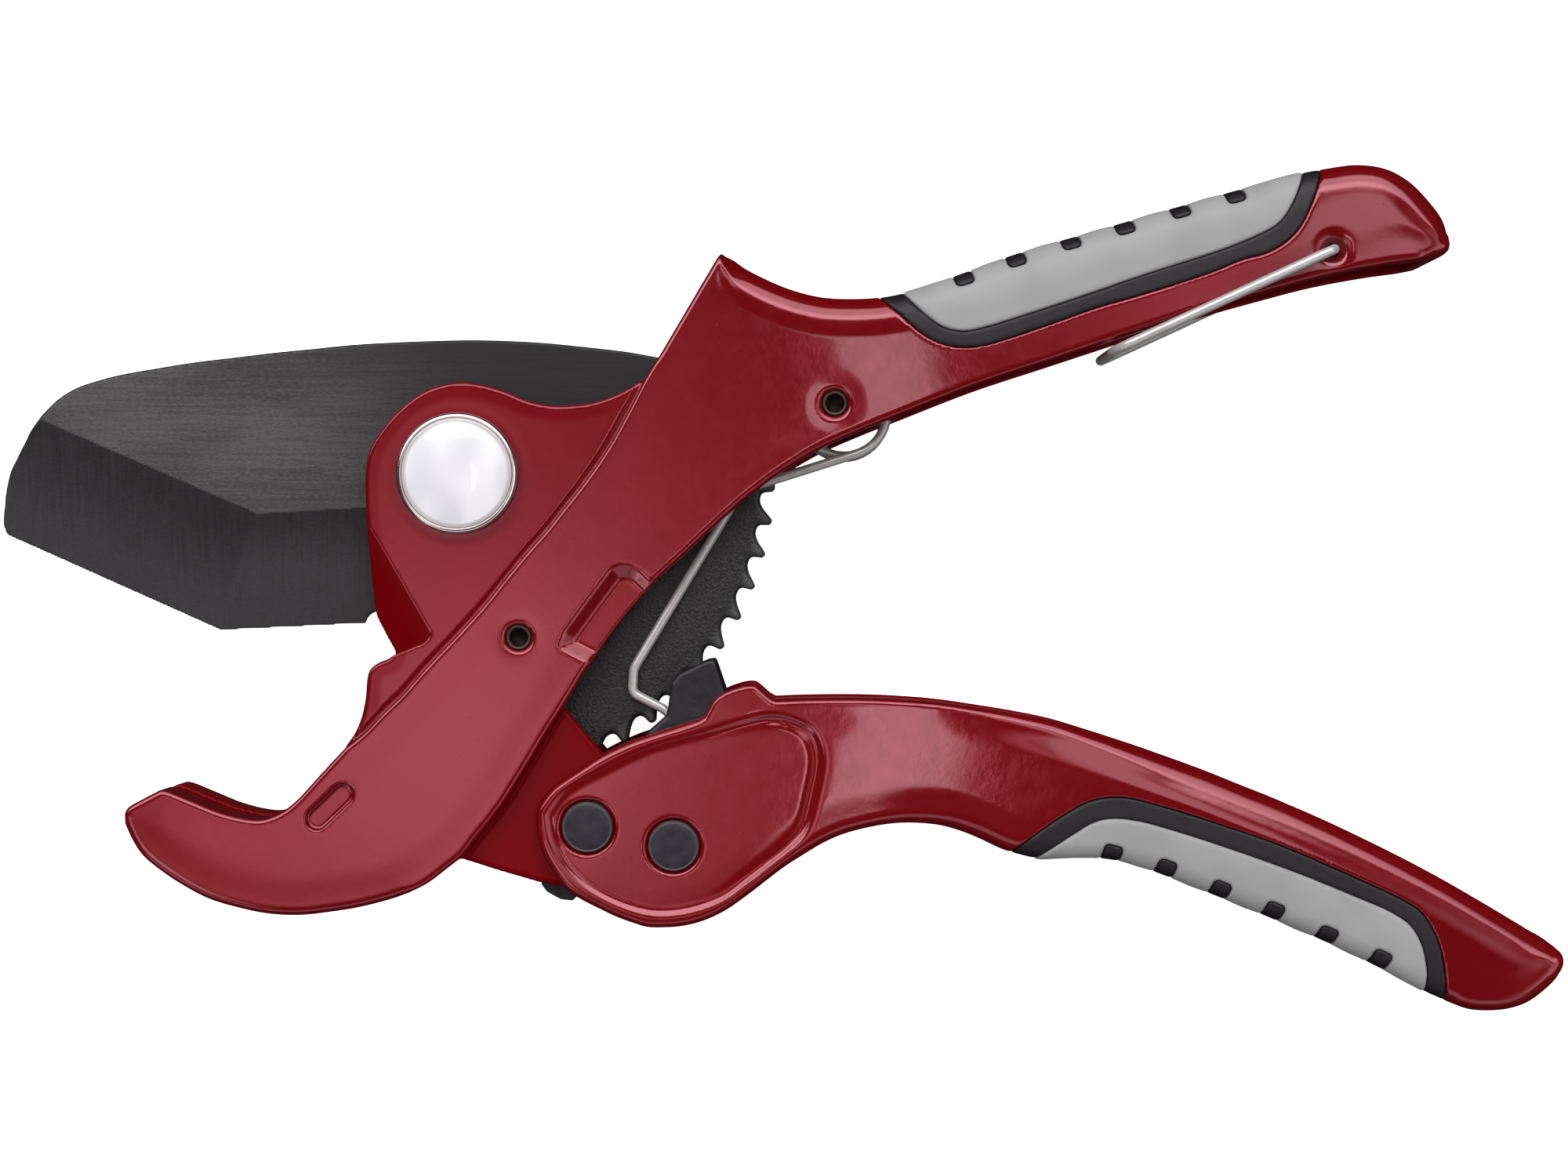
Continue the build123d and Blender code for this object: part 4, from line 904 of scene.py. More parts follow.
RED = red_enamel()
BLADE = blade_steel()
CASTING = black_casting()
STEEL = worn_metal(
    "dark_steel", grain_scale=1.9, grain_depth=0.010, colours=((40, 39, 44), (56, 55, 60)),
    edge_colour=(104, 104, 110), edge=dict(radius=0.30), rough=(0.38, 0.55), metallic=0.45,
    patches=dict(scale=0.45, shift=(2, 2, 2)))
RIVET = worn_metal(
    "rivet_black", grain_scale=2.4, grain_depth=0.012, colours=((33, 32, 40), (48, 47, 56)),
    edge_colour=(112, 108, 106), edge=dict(radius=0.22, full=0.12), rough=(0.36, 0.52),
    metallic=0.3, patches=dict(scale=0.55, shift=(2, 5, 2)))
CHROME = bright_chrome()
BADGE = badge_white()
SPRING_WIRE = wire("spring_wire", tone=0.54)
BAIL_WIRE = wire("bail_wire", tone=0.62)
GREY = rubber("grip_grey", first=(156, 156, 157), second=(163, 163, 164), rough=(0.42, 0.55))
BLACK = rubber("grip_black", first=(19, 15, 20), second=(25, 20, 26), rough=(0.42, 0.58))
PAWL_STEEL = worn_metal(
    "black_steel", grain_scale=2.0, grain_depth=0.016, colours=((24, 23, 28), (36, 35, 41)),
    edge_colour=(88, 88, 92), edge=dict(radius=0.40), rough=(0.36, 0.5), metallic=0.2,
    patches=dict(scale=0.22, detail=2.0, shift=(4, 4, 1)), swell=0.30)
PIN_BROWN = worn_metal(
    "pin_brown", grain_scale=2.2, grain_depth=0.012, colours=((40, 28, 24), (66, 52, 42)),
    edge_colour=(96, 90, 66), edge=dict(radius=0.15), rough=(0.4, 0.6), metallic=0.4)

# ------------------------------------------------- band, hook and upper handle
BAND = joined(BAND_TOP, BAND_END, BAND_LOW, HOOK_LOW, HOOK_TIP, HOOK_NOSE, HOOK_TOP, BAND_LEFT,
              BAND_BACK)
BOSS = np.vstack([spline(BOSS_RIM)[:-1], spline(BOSS_NOTCH), BOSS_REST])
# run, edge rounding, drop of the soft shoulder that leads into it
BAND_EDGES = [
    (BAND_TOP, 3.7, 0.40), (BAND_END, 2.0, 0.25), (BAND_LOW[:11], 1.0, 0.05),
    (BAND_LOW[11:], 0.85, 0.05), (HOOK_LOW, 1.3, 0.10), (HOOK_TIP, 1.1, None),
    (HOOK_NOSE, 0.8, 0.04), (HOOK_TOP, 0.7, 0.04), (BAND_LEFT, 0.55, 0.04),
    (BAND_BACK, 0.8, 0.06)]
SHOULDER = (-6.5, -1.2)     # where the shoulder begins and ends, from the outline
# dished seats: centre, depth, reach
SEATS = [(SPRING_PIN, 0.04, 3.8), (STOP_PIN, 0.05, 3.2), (BAIL_PIVOT, 0.25, 2.6)]
# bores with a flared mouth: centre, bore radius, mouth radius, face height,
# slope of the flare, scale of its field, softness
FLARED_BORES = [
    (STOP_PIN, 2.0, 2.42, 9.45, 1.0, 0.7, 0.25), (SPRING_PIN, 2.0, 2.55, 9.45, 1.0, 0.7, 0.25),
    (BAIL_PIVOT, 1.08, 1.95, 9.7, 0.8, 0.75, 0.2)]
POCKET = [
    (16.30, -27.55), (15.94, -26.82), (16.67, -24.74), (20.58, -19.37), (24.00, -14.85),
    (25.28, -14.21), (26.93, -14.31), (28.64, -15.21), (30.48, -16.92), (36.0, -22.0),
    (25.0, -34.0), (20.21, -29.63), (18.75, -28.90)]
# sloping relief in the boss; it falls away from the line from its first to its fifth point
RELIEF = [
    (-13.62, -8.46), (-10.80, -12.38), (-6.88, -19.00), (-4.18, -24.52), (-4.06, -25.13),
    (-5.40, -26.48), (-10.43, -28.57), (-20.0, -30.0), (-20.0, -8.46)]
# lug that holds the pin of the lower handle
LUG = [(4.0, -34.0), (14.04, -33.92), (16.75, -36.75), (19.58, -40.33), (22.41, -43.65),
       (24.4, -47.0), *arc(7.4, 50, -100, 10, HANDLE_PIVOT),
       (18.35, -65.40), (12.31, -64.17), (6.15, -62.38), (0.73, -60.66), (-8.0, -58.0)]
TURNED_CORNER = turned(BLADE_CORNER, BLADE_TURN)
HOOK_SLOT = [(-80, -20), (-80, -54.6), *arc(74.25, 227.4, 238.0, 8), (-39.0, -62.75),
             (TURNED_CORNER[0], TURNED_CORNER[1] - 1.15), (10.0, -38.0), (0, 0)]
SPRING_ROOM = [
    (73.0, 4.0), (50.0, -9.0), (30.0, -30.0), (16.0, -48.0), (3.5, -47.0), (4.0, -38.0),
    (10.0, -28.0), (23.0, -9.0), (38.0, 6.0), (44.0, 20.0), (55.0, 23.6), (66.0, 23.9),
    (70.0, 23.9)]
CHANNEL = [(68.2, 24.0),
           *((x, y) for x, y in shifted(BAND_TOP, -WALL)
             if 69.0 < x < 151.4 and not (x > 148 and y < 36)),
           (151.2, 36.5), (150.4, 28.0), (120.0, 18.0), (68.2, -2.0)]
LUG_SLOT = [(8.0, -49.3), (45.0, -36.0), (45.0, -75.0), (8.0, -75.0)]
# rooms between the outer plates: outline, half height
ROOMS = [(HOOK_SLOT, 1.9), (SPRING_ROOM, 4.9), (CHANNEL, 6.5), (LUG_SLOT, 3.0)]

# Grips: runs, rib places and angles, and the offset that closes the runs beyond the handle
UPPER_GRIP = dict(border=UP_BORDER, pad=UP_PAD, beyond=(-3.0, 12.0),
                  ribs=[((x - 0.30, y + 0.95), 15.9) for x, y in UP_RIBS])
LOWER_GRIP = dict(border=LOW_BORDER, pad=LOW_PAD, beyond=(-2.0, -14.0),
                  ribs=[((x - 0.38, y - 0.95), angle)
                        for (x, y), angle in zip(LOW_RIBS, LOW_RIB_ANGLES)])
RECESS_DEPTH = 1.8
BORDER_DEPTH = 1.78
PAD_BED = 0.9
PAD_DEPTH = 0.87


def by_nearness(grid, edges, column):
    """One column of an edge table, blended by how near each run is."""
    edges = [edge for edge in edges if edge[column] is not None]
    shares = [1.0 / (grid.from_run(spline(edge[0], step=1.5)) ** 4 + 0.05) for edge in edges]
    return sum(share * edge[column] for share, edge in zip(shares, edges)) / sum(shares)


def band_solid(grid, outline):
    """Band, hook and upper handle as one rounded slab."""
    half = PLATE_HALF + 0.5 * ease(grid.x, 86.0, 140.0)
    half = half - by_nearness(grid, BAND_EDGES, 2) * ease(outline, *SHOULDER)
    for centre, depth, reach in SEATS:
        half = half - depth * np.exp(-(grid.radius(centre) / reach) ** 4)
    return grid.prism(outline, half, by_nearness(grid, BAND_EDGES, 1))


def boss_solid(grid, band_outline):
    """Pivot boss, with a ring round the bolt head, a groove along the band and the relief."""
    outline = grid.outline(BOSS)
    half = BOSS_HALF - 0.06 * ease(outline, -2.6, -0.6)
    half = half - 0.015 * hump(grid.radius(PIVOT), centre=10.2, width=0.7)
    half = half - 0.22 * hump(band_outline, centre=0.30, width=0.34)
    boss = grid.prism(outline, half, rounding=0.55)
    (x0, y0), (x1, y1) = RELIEF[0], RELIEF[4]
    length = math.hypot(x1 - x0, y1 - y0)
    away = (grid.x - x0) * (y1 - y0) / length - (grid.y - y0) * (x1 - x0) / length
    top = BOSS_HALF - 0.50 * np.maximum(away, 0)
    return carve(boss, np.maximum(grid.outline(RELIEF), -(grid.height - top) * 0.9))


def grip_zone(grid, run, beyond):
    """Area between a run on the handle's face and the handle's outer edge."""
    ends = [(x + beyond[0], y + beyond[1]) for x, y in (run[-1], run[0])]
    return grid.outline(np.vstack([spline(run), ends]))


def grip_recess(grid, solid, skin, grip):
    zone = grip_zone(grid, grip["border"], grip["beyond"])
    return carve(solid, np.maximum(zone, -(skin + RECESS_DEPTH)), soft=0.12)


def body_piece():
    grid = Grid((-54.0, -71.0, -11.4), (157.0, 50.5, 11.4), BODY_STEP, BODY_LAYERS)
    height = grid.height
    outline = grid.outline(BAND)
    skin = band_solid(grid, outline)
    solid = join(skin, boss_solid(grid, outline), soft=0.18)
    lug = grid.prism(grid.outline(LUG), half_height=6.0, rounding=0.7)
    solid = join(solid, lug, soft=0.35)
    pivot = grid.radius(PIVOT)
    # round room for the blade and the ratchet sector
    solid = carve(solid, np.maximum(pivot - 50.5, height - 3.2))
    for room, half in ROOMS:
        solid = carve(solid, np.maximum(grid.outline(room), height - half))
    # shallow pocket with sloping walls
    wall = (grid.outline(POCKET) + (PLATE_HALF - height) * 1.55) * 0.54
    solid = carve(solid, overlap(8.15 - height, wall, soft=0.22), soft=0.18)
    # oblong recess at the root of the hook
    recess = grid.rounded_box((-19.86, -51.98), 43.9, half_size=(4.5, 1.75), corner=1.75)
    solid = carve(solid, overlap(recess, 8.5 - height, soft=0.45), soft=0.2)
    for centre, bore, mouth, face, flare, scale, soft in FLARED_BORES:
        radius = grid.radius(centre)
        solid = carve(solid, radius - bore)
        solid = carve(solid, (radius - mouth + (face - height) * flare) * scale, soft)
    solid = drill(grid, solid, (HANDLE_PIVOT, 3.05), (PIVOT, 4.03))
    # counterbore for the nut, open towards -z
    solid = carve(solid, np.maximum(pivot - 8.4, grid.z + 6.0))
    solid = grip_recess(grid, solid, skin, UPPER_GRIP)
    return from_field("body_shell", grid, solid, RED)


# -------------------------------------------------------------- lower handle
LOWER = joined(LOW_NECK, LOW_BUMP, LOW_TOP, LOW_END, LOW_SPINE)
LOW_CHANNEL = [(30.0, -20.0), (100.0, -20.0), (178.0, -58.0), (169.6, -69.0), (168.4, -72.9),
               (168.6, -75.6), (166.2, -78.4), (162.0, -80.3), (158.0, -80.2),
               *((x, y) for x, y in shifted(LOW_SPINE, -WALL) if 27.0 < x < 153.0),
               (24.0, -66.5), (23.4, -80.0), (0.0, -80.0), (0.0, -40.0)]


def lower_solid(grid, outline):
    """Lower handle as a rounded slab, with the plate round its two pins."""
    along = ease(grid.x, 72.0, 118.0)
    neck_end = ease(grid.x, 40.0, 54.0)
    grip_start = ease(grid.x, 64.0, 84.0)
    # run, edge rounding, drop of the shoulder
    edges = [(LOW_NECK, 1.3, 0.03), (LOW_BUMP, 0.7, 0.04),
             (LOW_TOP, 0.8 + 2.2 * along, 0.05 + 0.85 * along), (LOW_END, 2.6, 0.2),
             (LOW_SPINE, 1.5 + 0.5 * neck_end + 1.0 * grip_start,
              0.03 + 0.04 * neck_end + 0.23 * grip_start)]
    plate = grid.outline(joined(PLATEAU + PLATEAU[:1]))
    half = 9.90 + 0.1 * ease(grid.x, 74.0, 134.0)
    half = half - 0.45 * ease(plate, 1.1, -0.9)
    # the seam is deepest where the handle leaves the plate
    half = half - 0.32 * hump(plate, centre=0.1, width=0.75) * ease(grid.x, 36.0, 50.0)
    half = half - 0.10 * hump(plate, centre=0.1, width=0.6)
    half = half - by_nearness(grid, edges, 2) * ease(outline, *SHOULDER)
    return grid.prism(outline, half, by_nearness(grid, edges, 1))


def lower_piece():
    grid = Grid((10.5, -86.5, -11.0), (175.0, -31.0, 11.0), BODY_STEP, BODY_LAYERS)
    skin = lower_solid(grid, grid.outline(LOWER))
    solid = carve(skin, np.maximum(grid.outline(LOW_CHANNEL), grid.height - 6.2))
    for centre in (HANDLE_PIVOT, PAWL_PIVOT):
        radius = grid.radius(centre)
        solid = carve(solid, radius - 3.02)
        # seat of the pin's head
        solid = carve(solid, overlap(radius - 4.28, 8.6 - grid.height, soft=0.1), soft=0.45)
    solid = grip_recess(grid, solid, skin, LOWER_GRIP)
    return from_field("lower_handle_shell", grid, solid, RED)


# ---------------------------------------------------------------------- grips
def grip_pieces(tag, low, high, skin_solid, shape, grip):
    """Black border with its ribs, and the grey pad."""
    grid = Grid(low, high, GRIP_STEP)
    skin = skin_solid(grid, grid.outline(shape))
    border_zone = grip_zone(grid, grip["border"], grip["beyond"])
    pad_zone = grip_zone(grid, grip["pad"], grip["beyond"])
    rib_zone = np.minimum.reduce([grid.rounded_box(centre, angle, (1.5, 2.35), corner=0.75)
                                  for centre, angle in grip["ribs"]])
    bottom = -(skin + BORDER_DEPTH)
    border = overlap(skin + 0.02, border_zone + 0.06, soft=0.25)
    border = np.maximum(border, bottom)
    border = carve(border, np.maximum(pad_zone, -(skin + PAD_BED)))
    ribs = overlap(skin - 0.04, rib_zone + 0.03, soft=0.3)
    border = np.minimum(border, np.maximum(ribs, bottom))
    border = from_field(tag + "_grip_border", grid, border, BLACK)
    # the pad is a little proud, swelling between the ribs
    swell = 0.08 + 0.09 * ease(rib_zone, 0.3, 3.0)
    pad = overlap(skin - swell, pad_zone + 0.05, soft=0.55)
    pad = np.maximum(pad, -(skin + PAD_DEPTH))
    pad = carve(pad, rib_zone - 0.02, soft=0.35)
    return border, from_field(tag + "_grip_pad_skin", grid, pad, GREY)


install(body_piece(), "frame_body", "body_casting")
install(lower_piece(), "lower_handle_set", "lower_handle")
# tag, body, low and high corner of the grid, solid of the handle, its outline, grip
for tag, body, *layout in (
        ("upper", "frame_body", (64.0, 18.0, -11.3), (137.5, 50.5, 11.3), band_solid, BAND,
         UPPER_GRIP),
        ("lower", "lower_handle_set", (84.5, -86.0, -11.3), (156.5, -48.0, 11.3), lower_solid,
         LOWER, LOWER_GRIP)):
    border, pad = grip_pieces(tag, *layout)
    install(border, body, tag + "_grip_base")
    install(pad, body, tag + "_grip_pad")

# ---------------------------------------------------------- blade and sector
EDGE_HALF = 0.06      # half thickness at the corner of the cutting edge
TANG_ROOM = [
    (-30.0, -22.0), (-14.0, -22.0), (-8.0, -18.0), (0.0, -16.8), (9.3, -13.2), (17.4, -7.1),
    (26.9, 0.0), (35.1, 9.1), (38.0, 14.0), (33.0, 40.0), (-30.0, 40.0)]
TIP_RADIUS = 49.60
TOOTH_COUNT = 13
TOOTH_START, TOOTH_PITCH = -2.2, 6.25     # degrees
# one tooth: radius, angle from its start
TOOTH = [
    (TIP_RADIUS, 0.30), (TIP_RADIUS, -0.25), (49.25, -0.72), (47.90, -0.95), (47.47, -1.35),
    (47.35, -1.9), (47.35, -2.7), (47.57, -3.4), (48.10, -4.3), (48.80, -5.1)]


def drill_blade_set(grid, solid):
    """Pivot bore and dowel holes, shared by the blade and the sector."""
    return drill(grid, solid, (PIVOT, BLADE_BORE), *((dowel, DOWEL_RADIUS) for dowel in DOWELS))


def blade_piece():
    grid = Grid((-75.0, -26.5, -1.9), (37.5, 23.0, 1.9), BLADE_STEP)
    outline = np.vstack([spline(BLADE_TOP)[:-1], spline(BLADE_TIP),
                         [BLADE_CORNER, BLADE_HEEL, TANG_LOW[0]],
                         spline(TANG_LOW)[1:], spline(TANG_END)[1:-1]])
    solid = grid.prism(grid.outline(outline), BLADE_HALF, rounding=0.12)
    # each bevel falls from its ridge line to the corner of the cutting edge
    for start, end in zip(BEVEL_RIDGE, BEVEL_RIDGE[1:]):
        along_x, along_y = end[0] - start[0], end[1] - start[1]
        length = math.hypot(along_x, along_y)
        down_x, down_y = along_y / length, -along_x / length
        width = ((BLADE_CORNER[0] - start[0]) * down_x + (BLADE_CORNER[1] - start[1]) * down_y)
        fall = (BLADE_HALF - EDGE_HALF) / width
        away = (grid.x - start[0]) * down_x + (grid.y - start[1]) * down_y
        bevel = (grid.height - BLADE_HALF + fall * away) / math.sqrt(1 + fall * fall)
        solid = np.maximum(solid, bevel)
    solid = drill(grid, solid, (turned(STOP_PIN, -BLADE_TURN), 2.15))
    return from_field("blade_ground", grid, drill_blade_set(grid, solid), BLADE)


def sector_outline():
    teeth = [polar(radius, TOOTH_START - TOOTH_PITCH * k + angle)
             for k in range(TOOTH_COUNT) for radius, angle in TOOTH]
    # the last tooth runs out into the end of the sector
    return [*arc(TIP_RADIUS, 6.0, -1.2, 4), *teeth[:-6],
            polar(47.05, -79.3), polar(45.60, -80.0), polar(34.5, -79.6), polar(32.8, -77.5),
            *arc(32.5, -75.0, -38.5, 14),
            polar(31.9, -35.6), polar(30.6, -33.2), polar(28.0, -32.4), polar(24.5, -33.4),
            polar(22.0, -38.0), polar(18.0, -50.0),
            *arc(13.0, -75.0, -290.0, 40),
            (10.5, 9.3), (17.0, 8.7), (24.0, 10.0), (30.0, 12.6), (35.0, 13.6), (40.0, 12.6),
            (45.0, 10.0), (48.2, 7.6)]


def sector_piece():
    grid = Grid((-14.5, -50.5, -3.3), (51.0, 15.0, 3.3), FINE_STEP)
    outline = grid.outline(sector_outline())
    radius = grid.radius(PIVOT)
    # raised rim behind the teeth and along the inner edge
    half = 2.75 - 0.10 * ease(outline, -1.6, -6.0) * ease(radius, 47.0, 40.0)
    solid = grid.prism(outline, half, rounding=0.35 + 0.55 * ease(radius, 44.6, 46.4))
    solid = carve(solid, np.maximum(grid.outline(TANG_ROOM), grid.height - 1.52))
    return from_field("sector_cast", grid, drill_blade_set(grid, solid), CASTING)


install(blade_piece(), "blade_set", "blade")
install(sector_piece(), "blade_set", "ratchet_sector")

# ---------------------------------------------------------------------- pawls
DRIVE_CHEEK = [
    (33.26, -32.81), (34.37, -31.45), (37.82, -29.73), (39.05, -29.24), (40.03, -29.11),
    (41.51, -33.42), (43.4, -39.4), (43.2, -46.0), (40.6, -53.0),
    *arc(5.6, 20, -178, 11, PAWL_PIVOT),
    (28.7, -53.5), (28.6, -45.0), (28.93, -41.1), (31.0, -39.3), (32.45, -38.0),
    (32.76, -36.63)]
DRIVE_WEB = [
    (38.15, -29.62), (39.05, -29.24), (40.03, -29.11), (41.51, -33.42), (43.4, -39.4),
    (43.2, -46.0), (41.6, -46.0), (41.7, -39.6), (40.0, -33.9), (38.9, -31.2)]
HOLDING_PAWL = [
    (24.74, -44.04), (25.70, -42.68), (25.95, -42.62), (26.55, -43.36), (26.3, -46.5),
    *arc(5.0, 30, -45, 3, HANDLE_PIVOT),
    (21.0, -61.5), (18.6, -66.4), (17.5, -67.5), (15.6, -67.3), (13.4, -66.1), (12.5, -64.9),
    (13.2, -60.5), *arc(5.2, 190, 115, 3, HANDLE_PIVOT), (20.6, -48.5)]


def drive_pawl_piece():
    """Two cheeks joined by a web that clears the sector's teeth."""
    grid = Grid((26.5, -65.0, -6.6), (48.0, -27.5, 6.6), BLADE_STEP)
    cheeks = grid.prism(grid.outline(DRIVE_CHEEK), half_height=6.0, rounding=0.55)
    cheeks = np.maximum(cheeks, 4.6 - grid.height)
    web = grid.prism(grid.outline(DRIVE_WEB), half_height=6.0, rounding=0.45)
    web = np.maximum(web, 50.0 - grid.radius(PIVOT))
    solid = drill(grid, join(cheeks, web, soft=0.3), (PAWL_PIVOT, PAWL_BORE))
    # hole for the end of the return spring, in the +z cheek only
    solid = carve(solid, np.maximum(grid.radius(SPRING_HOLE) - 1.2, 2.0 - grid.z))
    return from_field("drive_pawl_cast", grid, solid, PAWL_STEEL)


def holding_pawl_piece():
    grid = Grid((11.0, -69.0, -3.0), (28.5, -41.0, 3.0), FINE_STEP)
    solid = grid.prism(grid.outline(HOLDING_PAWL), half_height=2.5, rounding=0.4)
    solid = drill(grid, solid, (HANDLE_PIVOT, PAWL_BORE))
    return from_field("holding_pawl_cast", grid, solid, PAWL_STEEL)


install(drive_pawl_piece(), "drive_pawl_arm", "drive_pawl")
install(holding_pawl_piece(), "holding_pawl_arm", "holding_pawl")

# --------------------------------------------------------------- turned parts
# profiles are rows of (radius, z)
BOLT_PROFILE = [
    (0, -9.3), (3.7, -9.3), (4.0, -9.0), (4.0, 8.0), (9.35, 8.0), (9.5, 8.15),
    *arc(0.75, 0, 90, 7, centre=(8.75, 9.45)), (8.70, 10.18), (8.64, 10.10), (8.64, 9.5),
    (0, 9.5)]
BADGE_RIM = [
    (0.0, 9.52), (8.58, 9.52), (8.60, 10.02), (8.52, 10.16), (8.36, 10.22), (8.16, 10.24)]
DOME_RADIUS = 8.1
DOME_RISE = 0.95
DOME_TOP = 10.25 + 0.93
# halves above z = 0; the other half mirrors them
RIVET_HALF = [
    (0.0, 9.46), (2.2, 9.47), (3.45, 9.46), (3.62, 9.40), (3.72, 9.46), (3.84, 9.44),
    (3.95, 9.30), (3.95, 8.64), (3.0, 8.62)]
ROLLED_HALF = [
    (0.0, 5.4), (0.9, 5.5), (1.40, 5.9), (1.45, 8.8), (1.52, 9.02), (1.75, 9.10), (1.90, 9.02),
    (1.98, 8.85)]


def dome_profile(count=14):
    """Shallow spherical cap, from near its edge up to the axis."""
    sphere = (DOME_RADIUS ** 2 + DOME_RISE ** 2) / (2 * DOME_RISE)
    edge = math.asin(DOME_RADIUS / sphere)
    angles = [edge * (1 - i / count) for i in range(1, count + 1)]
    return [(sphere * math.sin(angle), DOME_TOP - sphere * (1 - math.cos(angle)))
            for angle in angles]


def mirrored(half):
    return [(radius, -z) for radius, z in half] + half[::-1]


bolt = lathe("pivot_bolt_turned", PIVOT, BOLT_PROFILE, CHROME, segments=160)
install(bolt, "frame_body", "pivot_bolt")
badge = lathe("pivot_badge_dome", PIVOT, BADGE_RIM + dome_profile(), BADGE, segments=160)
install(badge, "frame_body", "pivot_badge")
for node, centre in (("handle_pivot_pin", HANDLE_PIVOT), ("pawl_pin", PAWL_PIVOT)):
    pin = lathe(node + "_turned", centre, mirrored(RIVET_HALF), RIVET, segments=96, sharp=30.0)
    install(pin, "lower_handle_set", node)
for node, centre in (("blade_stop_pin", STOP_PIN), ("spring_pin", SPRING_PIN)):
    pin = lathe(node + "_rolled", centre, mirrored(ROLLED_HALF), PIN_BROWN, segments=72,
                sharp=40.0)
    install(pin, "frame_body", node)

# ---------------------------------------------------------------------- wires
COIL_TURNS = 4.6
COIL_PITCH = 1.62
COIL_RADIUS = 6.7
COIL_START = -73.9 - 144.0      # degrees
BACK_LEG = 9.0
LEG_Z = 3.75
# corners of the long leg after the coil, and their bend radii
LEG_CORNERS = [(44.2, -2.45, LEG_Z), (27.25, -30.7, LEG_Z), (27.05, -34.45, LEG_Z),
               (32.17, -37.10, LEG_Z), (*SPRING_HOLE, LEG_Z), (*SPRING_HOLE, 5.9)]
LEG_BENDS = [3.2, 3.0, 1.6, 6.0, 1.0]
BAIL_NOSE = (102.4, 19.0)
BAIL_Z = 11.35
BAIL_END_Z = 7.0


def spaced(start, end, count):
    """Evenly spaced points from start, without the end."""
    return [start + (end - start) * k / count for k in range(count)]


def spring_path():
    """Back leg, coil, long leg and hooked end."""
    height = COIL_PITCH * COIL_TURNS
    low_z = LEG_Z - height
    steps = int(40 * COIL_TURNS)
    coil = [(*polar(COIL_RADIUS, COIL_START - 360.0 * COIL_TURNS * i / steps, COIL_AXIS),
             low_z + height * i / steps) for i in range(steps + 1)]
    back = (*polar(BACK_LEG, COIL_START + 90.0, centre=coil[0][:2]), low_z)
    leg = bent([coil[-1], *LEG_CORNERS], LEG_BENDS, fineness=10)
    path = [back, *coil[:-1], *spaced(leg[0], leg[1], 8)]
    # closely spaced points along the rest of the leg, so that it bends evenly
    for start, end in zip(leg[1:-1], leg[2:]):
        path += spaced(start, end, max(1, int(np.linalg.norm(end - start) / 1.2)))
    return [*path, leg[-1]]


def bail_path():
    """From one side of the handle round the nose to the other side."""
    corners = [(*BAIL_PIVOT, BAIL_END_Z), (*BAIL_PIVOT, BAIL_Z), (*BAIL_NOSE, BAIL_Z),
               (*BAIL_NOSE, -BAIL_Z), (*BAIL_PIVOT, -BAIL_Z), (*BAIL_PIVOT, -BAIL_END_Z)]
    return bent(corners, radii=[1.3, 3.6, 3.6, 1.3], fineness=12)


spring = tube("return_spring_wire", spring_path(), 0.75, SPRING_WIRE, sides=20)
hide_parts("return_spring")
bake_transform(spring)
bail = tube("bail_wire_loop", bail_path(), 0.78, BAIL_WIRE, sides=24)
install(bail, "lock_bail", "handle_bail")

# CAD nodes that stay visible
for node, material in (("sector_dowels", STEEL), ("pivot_nut", STEEL), ("pivot_bush", CHROME),
                       ("pivot_washers", STEEL), ("holding_pawl_spring", SPRING_WIRE)):
    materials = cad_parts[node].data.materials
    materials.clear()
    materials.append(material)

# ---------------------------------------------------------------------- floor
FLOOR_Z = -0.01245      # metres
FLOOR_HALF = 2.4        # metres
FLOOR_CELLS = 24
FLOOR_GLOW = 0.95
BOUNCE_GLOW = 0.55      # what light rays other than glossy ones see


def floor_white():
    mat = new_material("floor_white")
    white = (1.0, 1.0, 1.0)
    camera_ray = mat.node("LightPath", output="Is Camera Ray")
    tone = mat.noise(scale=0.01, detail=2.0).ramp()
    diffuse = mat.node("BsdfDiffuse", {0: mat.mix(tone, (0.90, 0.90, 0.90), (0.93, 0.93, 0.93))})
    glow = mat.node("Emission", {0: white, 1: FLOOR_GLOW})
    seen = mat.node("AddShader", {0: diffuse, 1: glow})
    # from below, the floor lets the camera through
    below = mat.node("NewGeometry", output="Backfacing")
    seen = mat.mix_shader(below, seen, mat.node("BsdfTransparent"))
    # reflections see it nearly black
    bounce = mat.node("Emission", {0: white, 1: BOUNCE_GLOW})
    dark = mat.node("BsdfDiffuse", {0: (0.015, 0.014, 0.014)})
    unseen = mat.mix_shader(camera_ray.also("Is Glossy Ray"), bounce, dark)
    return mat.finish(mat.mix_shader(camera_ray, unseen, seen))


def floor_piece():
    row = FLOOR_CELLS + 1
    places = [FLOOR_HALF * (i / FLOOR_CELLS - 0.5) * 2 for i in range(row)]
    corners = [i * row + j for i in range(FLOOR_CELLS) for j in range(FLOOR_CELLS)]
    mesh = bpy.data.meshes.new("floor")
    mesh.from_pydata([(x, y, FLOOR_Z) for x in places for y in places], [],
                     [(k, k + row, k + row + 1, k + 1) for k in corners])
    floor = bpy.data.objects.new("floor", mesh)
    bpy.context.scene.collection.objects.link(floor)
    mesh.materials.append(floor_white())
    return floor


floor_piece()

# ---------------------------------------------------------------------- light
# Soft boxes painted on the sky. Their place is the direction's (x / z, y / z) = (u, v).
AMBIENT = 0.06
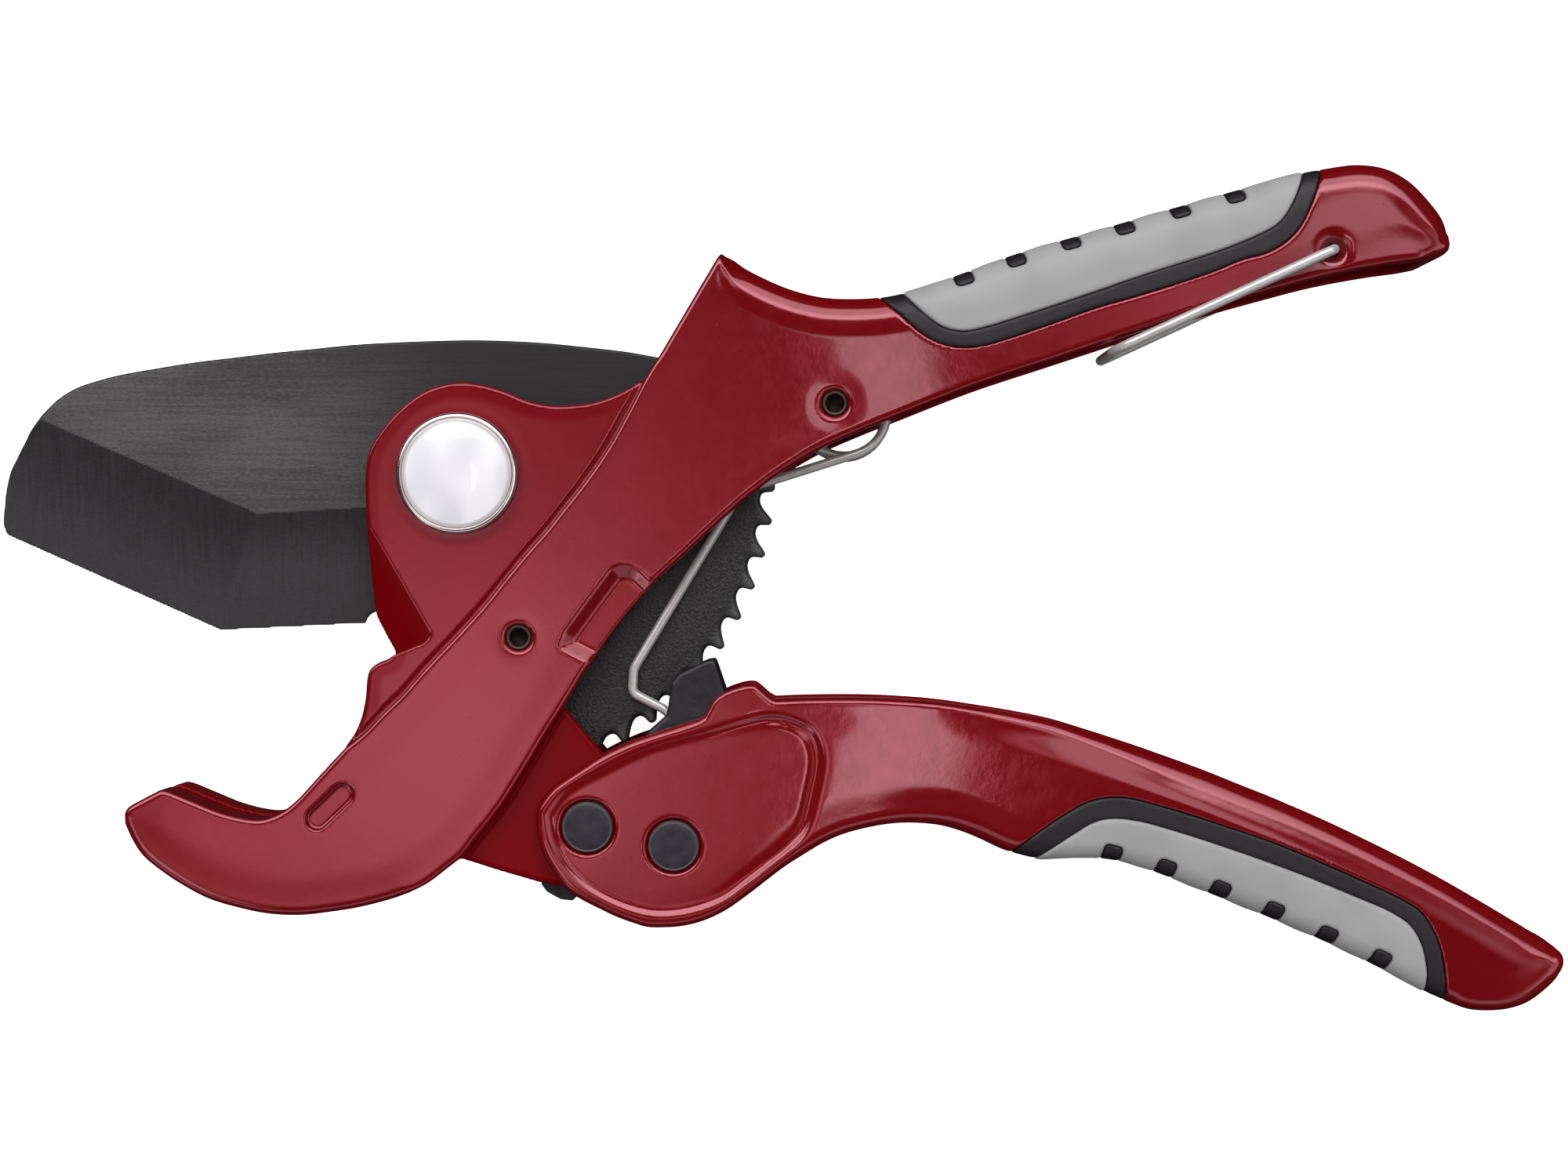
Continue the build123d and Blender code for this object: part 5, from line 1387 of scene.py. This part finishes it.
# strength, (u from, u to, softness at each end), the same for v, shear of u with v
BOXES = [
    (2.5, (0.0467, 0.0834, 0.0015, 0.006), (0.030, 0.125, 0.005, 0.02), 0.3),
    (2.8, (0.0324, 0.0790, 0.0015, 0.006), (-0.115, 0.030, 0.02, 0.005), -0.2),
    (1.7, (0.17, 0.34, 0.03, 0.04), (0.10, 0.36, 0.03, 0.03), 0.0),
    (2.6, (-1.8, 0.95, 0.3, 0.25), (0.40, 2.2, 0.04, 0.6), 0.0),
    (1.8, (-1.2, 0.45, 0.3, 0.2), (0.40, 0.80, 0.04, 0.20), 0.0),
    (1.9, (-0.75, -0.32, 0.10, 0.08), (-0.60, -0.20, 0.10, 0.08), 0.0),
    (2.2, (-1.75, -1.15, 0.10, 0.10), (-2.0, -1.25, 0.15, 0.10), 0.0),
    (1.3, (0.5, 1.8, 0.2, 0.5), (-0.8, 0.30, 0.2, 0.1), 0.0),
    (0.7, (-1.0, 1.0, 0.3, 0.3), (-2.4, -1.0, 0.4, 0.2), 0.0)]
# strength, centre u and v, reach in u and v
WHITE_BLOB = (0.75, -0.115, -0.060, 0.085, 0.085)
RED_BLOBS = [(1.25, -0.170, -0.050, 0.135, 0.180), (1.4, 0.135, 0.10, 0.035, 0.035)]
RED_BLOB_GREEN, RED_BLOB_BLUE = 0.50, 0.58      # parts of their red
BACKDROP = (0.97, 0.97, 0.97)                   # what the camera sees past the floor


def window(value, start, end, soft_start, soft_end):
    rise = value.ramp((start - soft_start, start + soft_start))
    return rise * value.ramp((end - soft_end, end + soft_end), to=(1.0, 0.0))


def studio():
    world = bpy.data.worlds.new("studio")
    bpy.context.scene.world = world
    sky = Shader(world, "OutputWorld")
    x, y, z = sky.node("TexCoord", output="Generated").xyz()
    level = z.calc("MAXIMUM", 0.02)
    u, v = x / level, y / level
    above = z.ramp((0.0, 0.04))

    def blob(strength, centre_u, centre_v, reach_u, reach_v):
        far_u = (abs(u - centre_u) / reach_u) ** 2.0
        far_v = (abs(v - centre_v) / reach_v) ** 2.0
        return ((far_u + far_v) * -1.0).calc("EXPONENT") * above * strength

    white = z.ramp((-0.05, 0.05)) * AMBIENT
    for strength, span_u, span_v, shear in BOXES:
        leaning_u = u + v * shear if shear else u
        white = white + window(leaning_u, *span_u) * window(v, *span_v) * above * strength
    white = white + blob(*WHITE_BLOB)
    first, second = (blob(*row) for row in RED_BLOBS)
    red = first + second
    colour = sky.node("CombineColor", {0: white + red, 1: white + red * RED_BLOB_GREEN,
                                       2: white + red * RED_BLOB_BLUE})
    sky.finish(sky.mix_shader(sky.node("LightPath", output="Is Camera Ray"),
                              sky.node("Background", {0: colour}),
                              sky.node("Background", {0: BACKDROP})))
    world.cycles.sampling_method = "MANUAL"
    world.cycles.sample_map_resolution = 1024


def add_camera():
    """Camera over the middle of the tool, looking straight down."""
    lens = bpy.data.cameras.new("camera")
    lens.lens = 60.48
    lens.sensor_width = 36.0
    lens.clip_start = 0.01
    lens.clip_end = 10.0
    camera = bpy.data.objects.new("camera", lens)
    camera.location = (0.0510, -0.0179, 0.420)
    camera.rotation_euler = (0.0, 0.0, 0.0)
    bpy.context.scene.collection.objects.link(camera)
    bpy.context.scene.camera = camera


studio()
add_camera()
view = bpy.context.scene.view_settings
view.view_transform = "Standard"
view.look = "None"
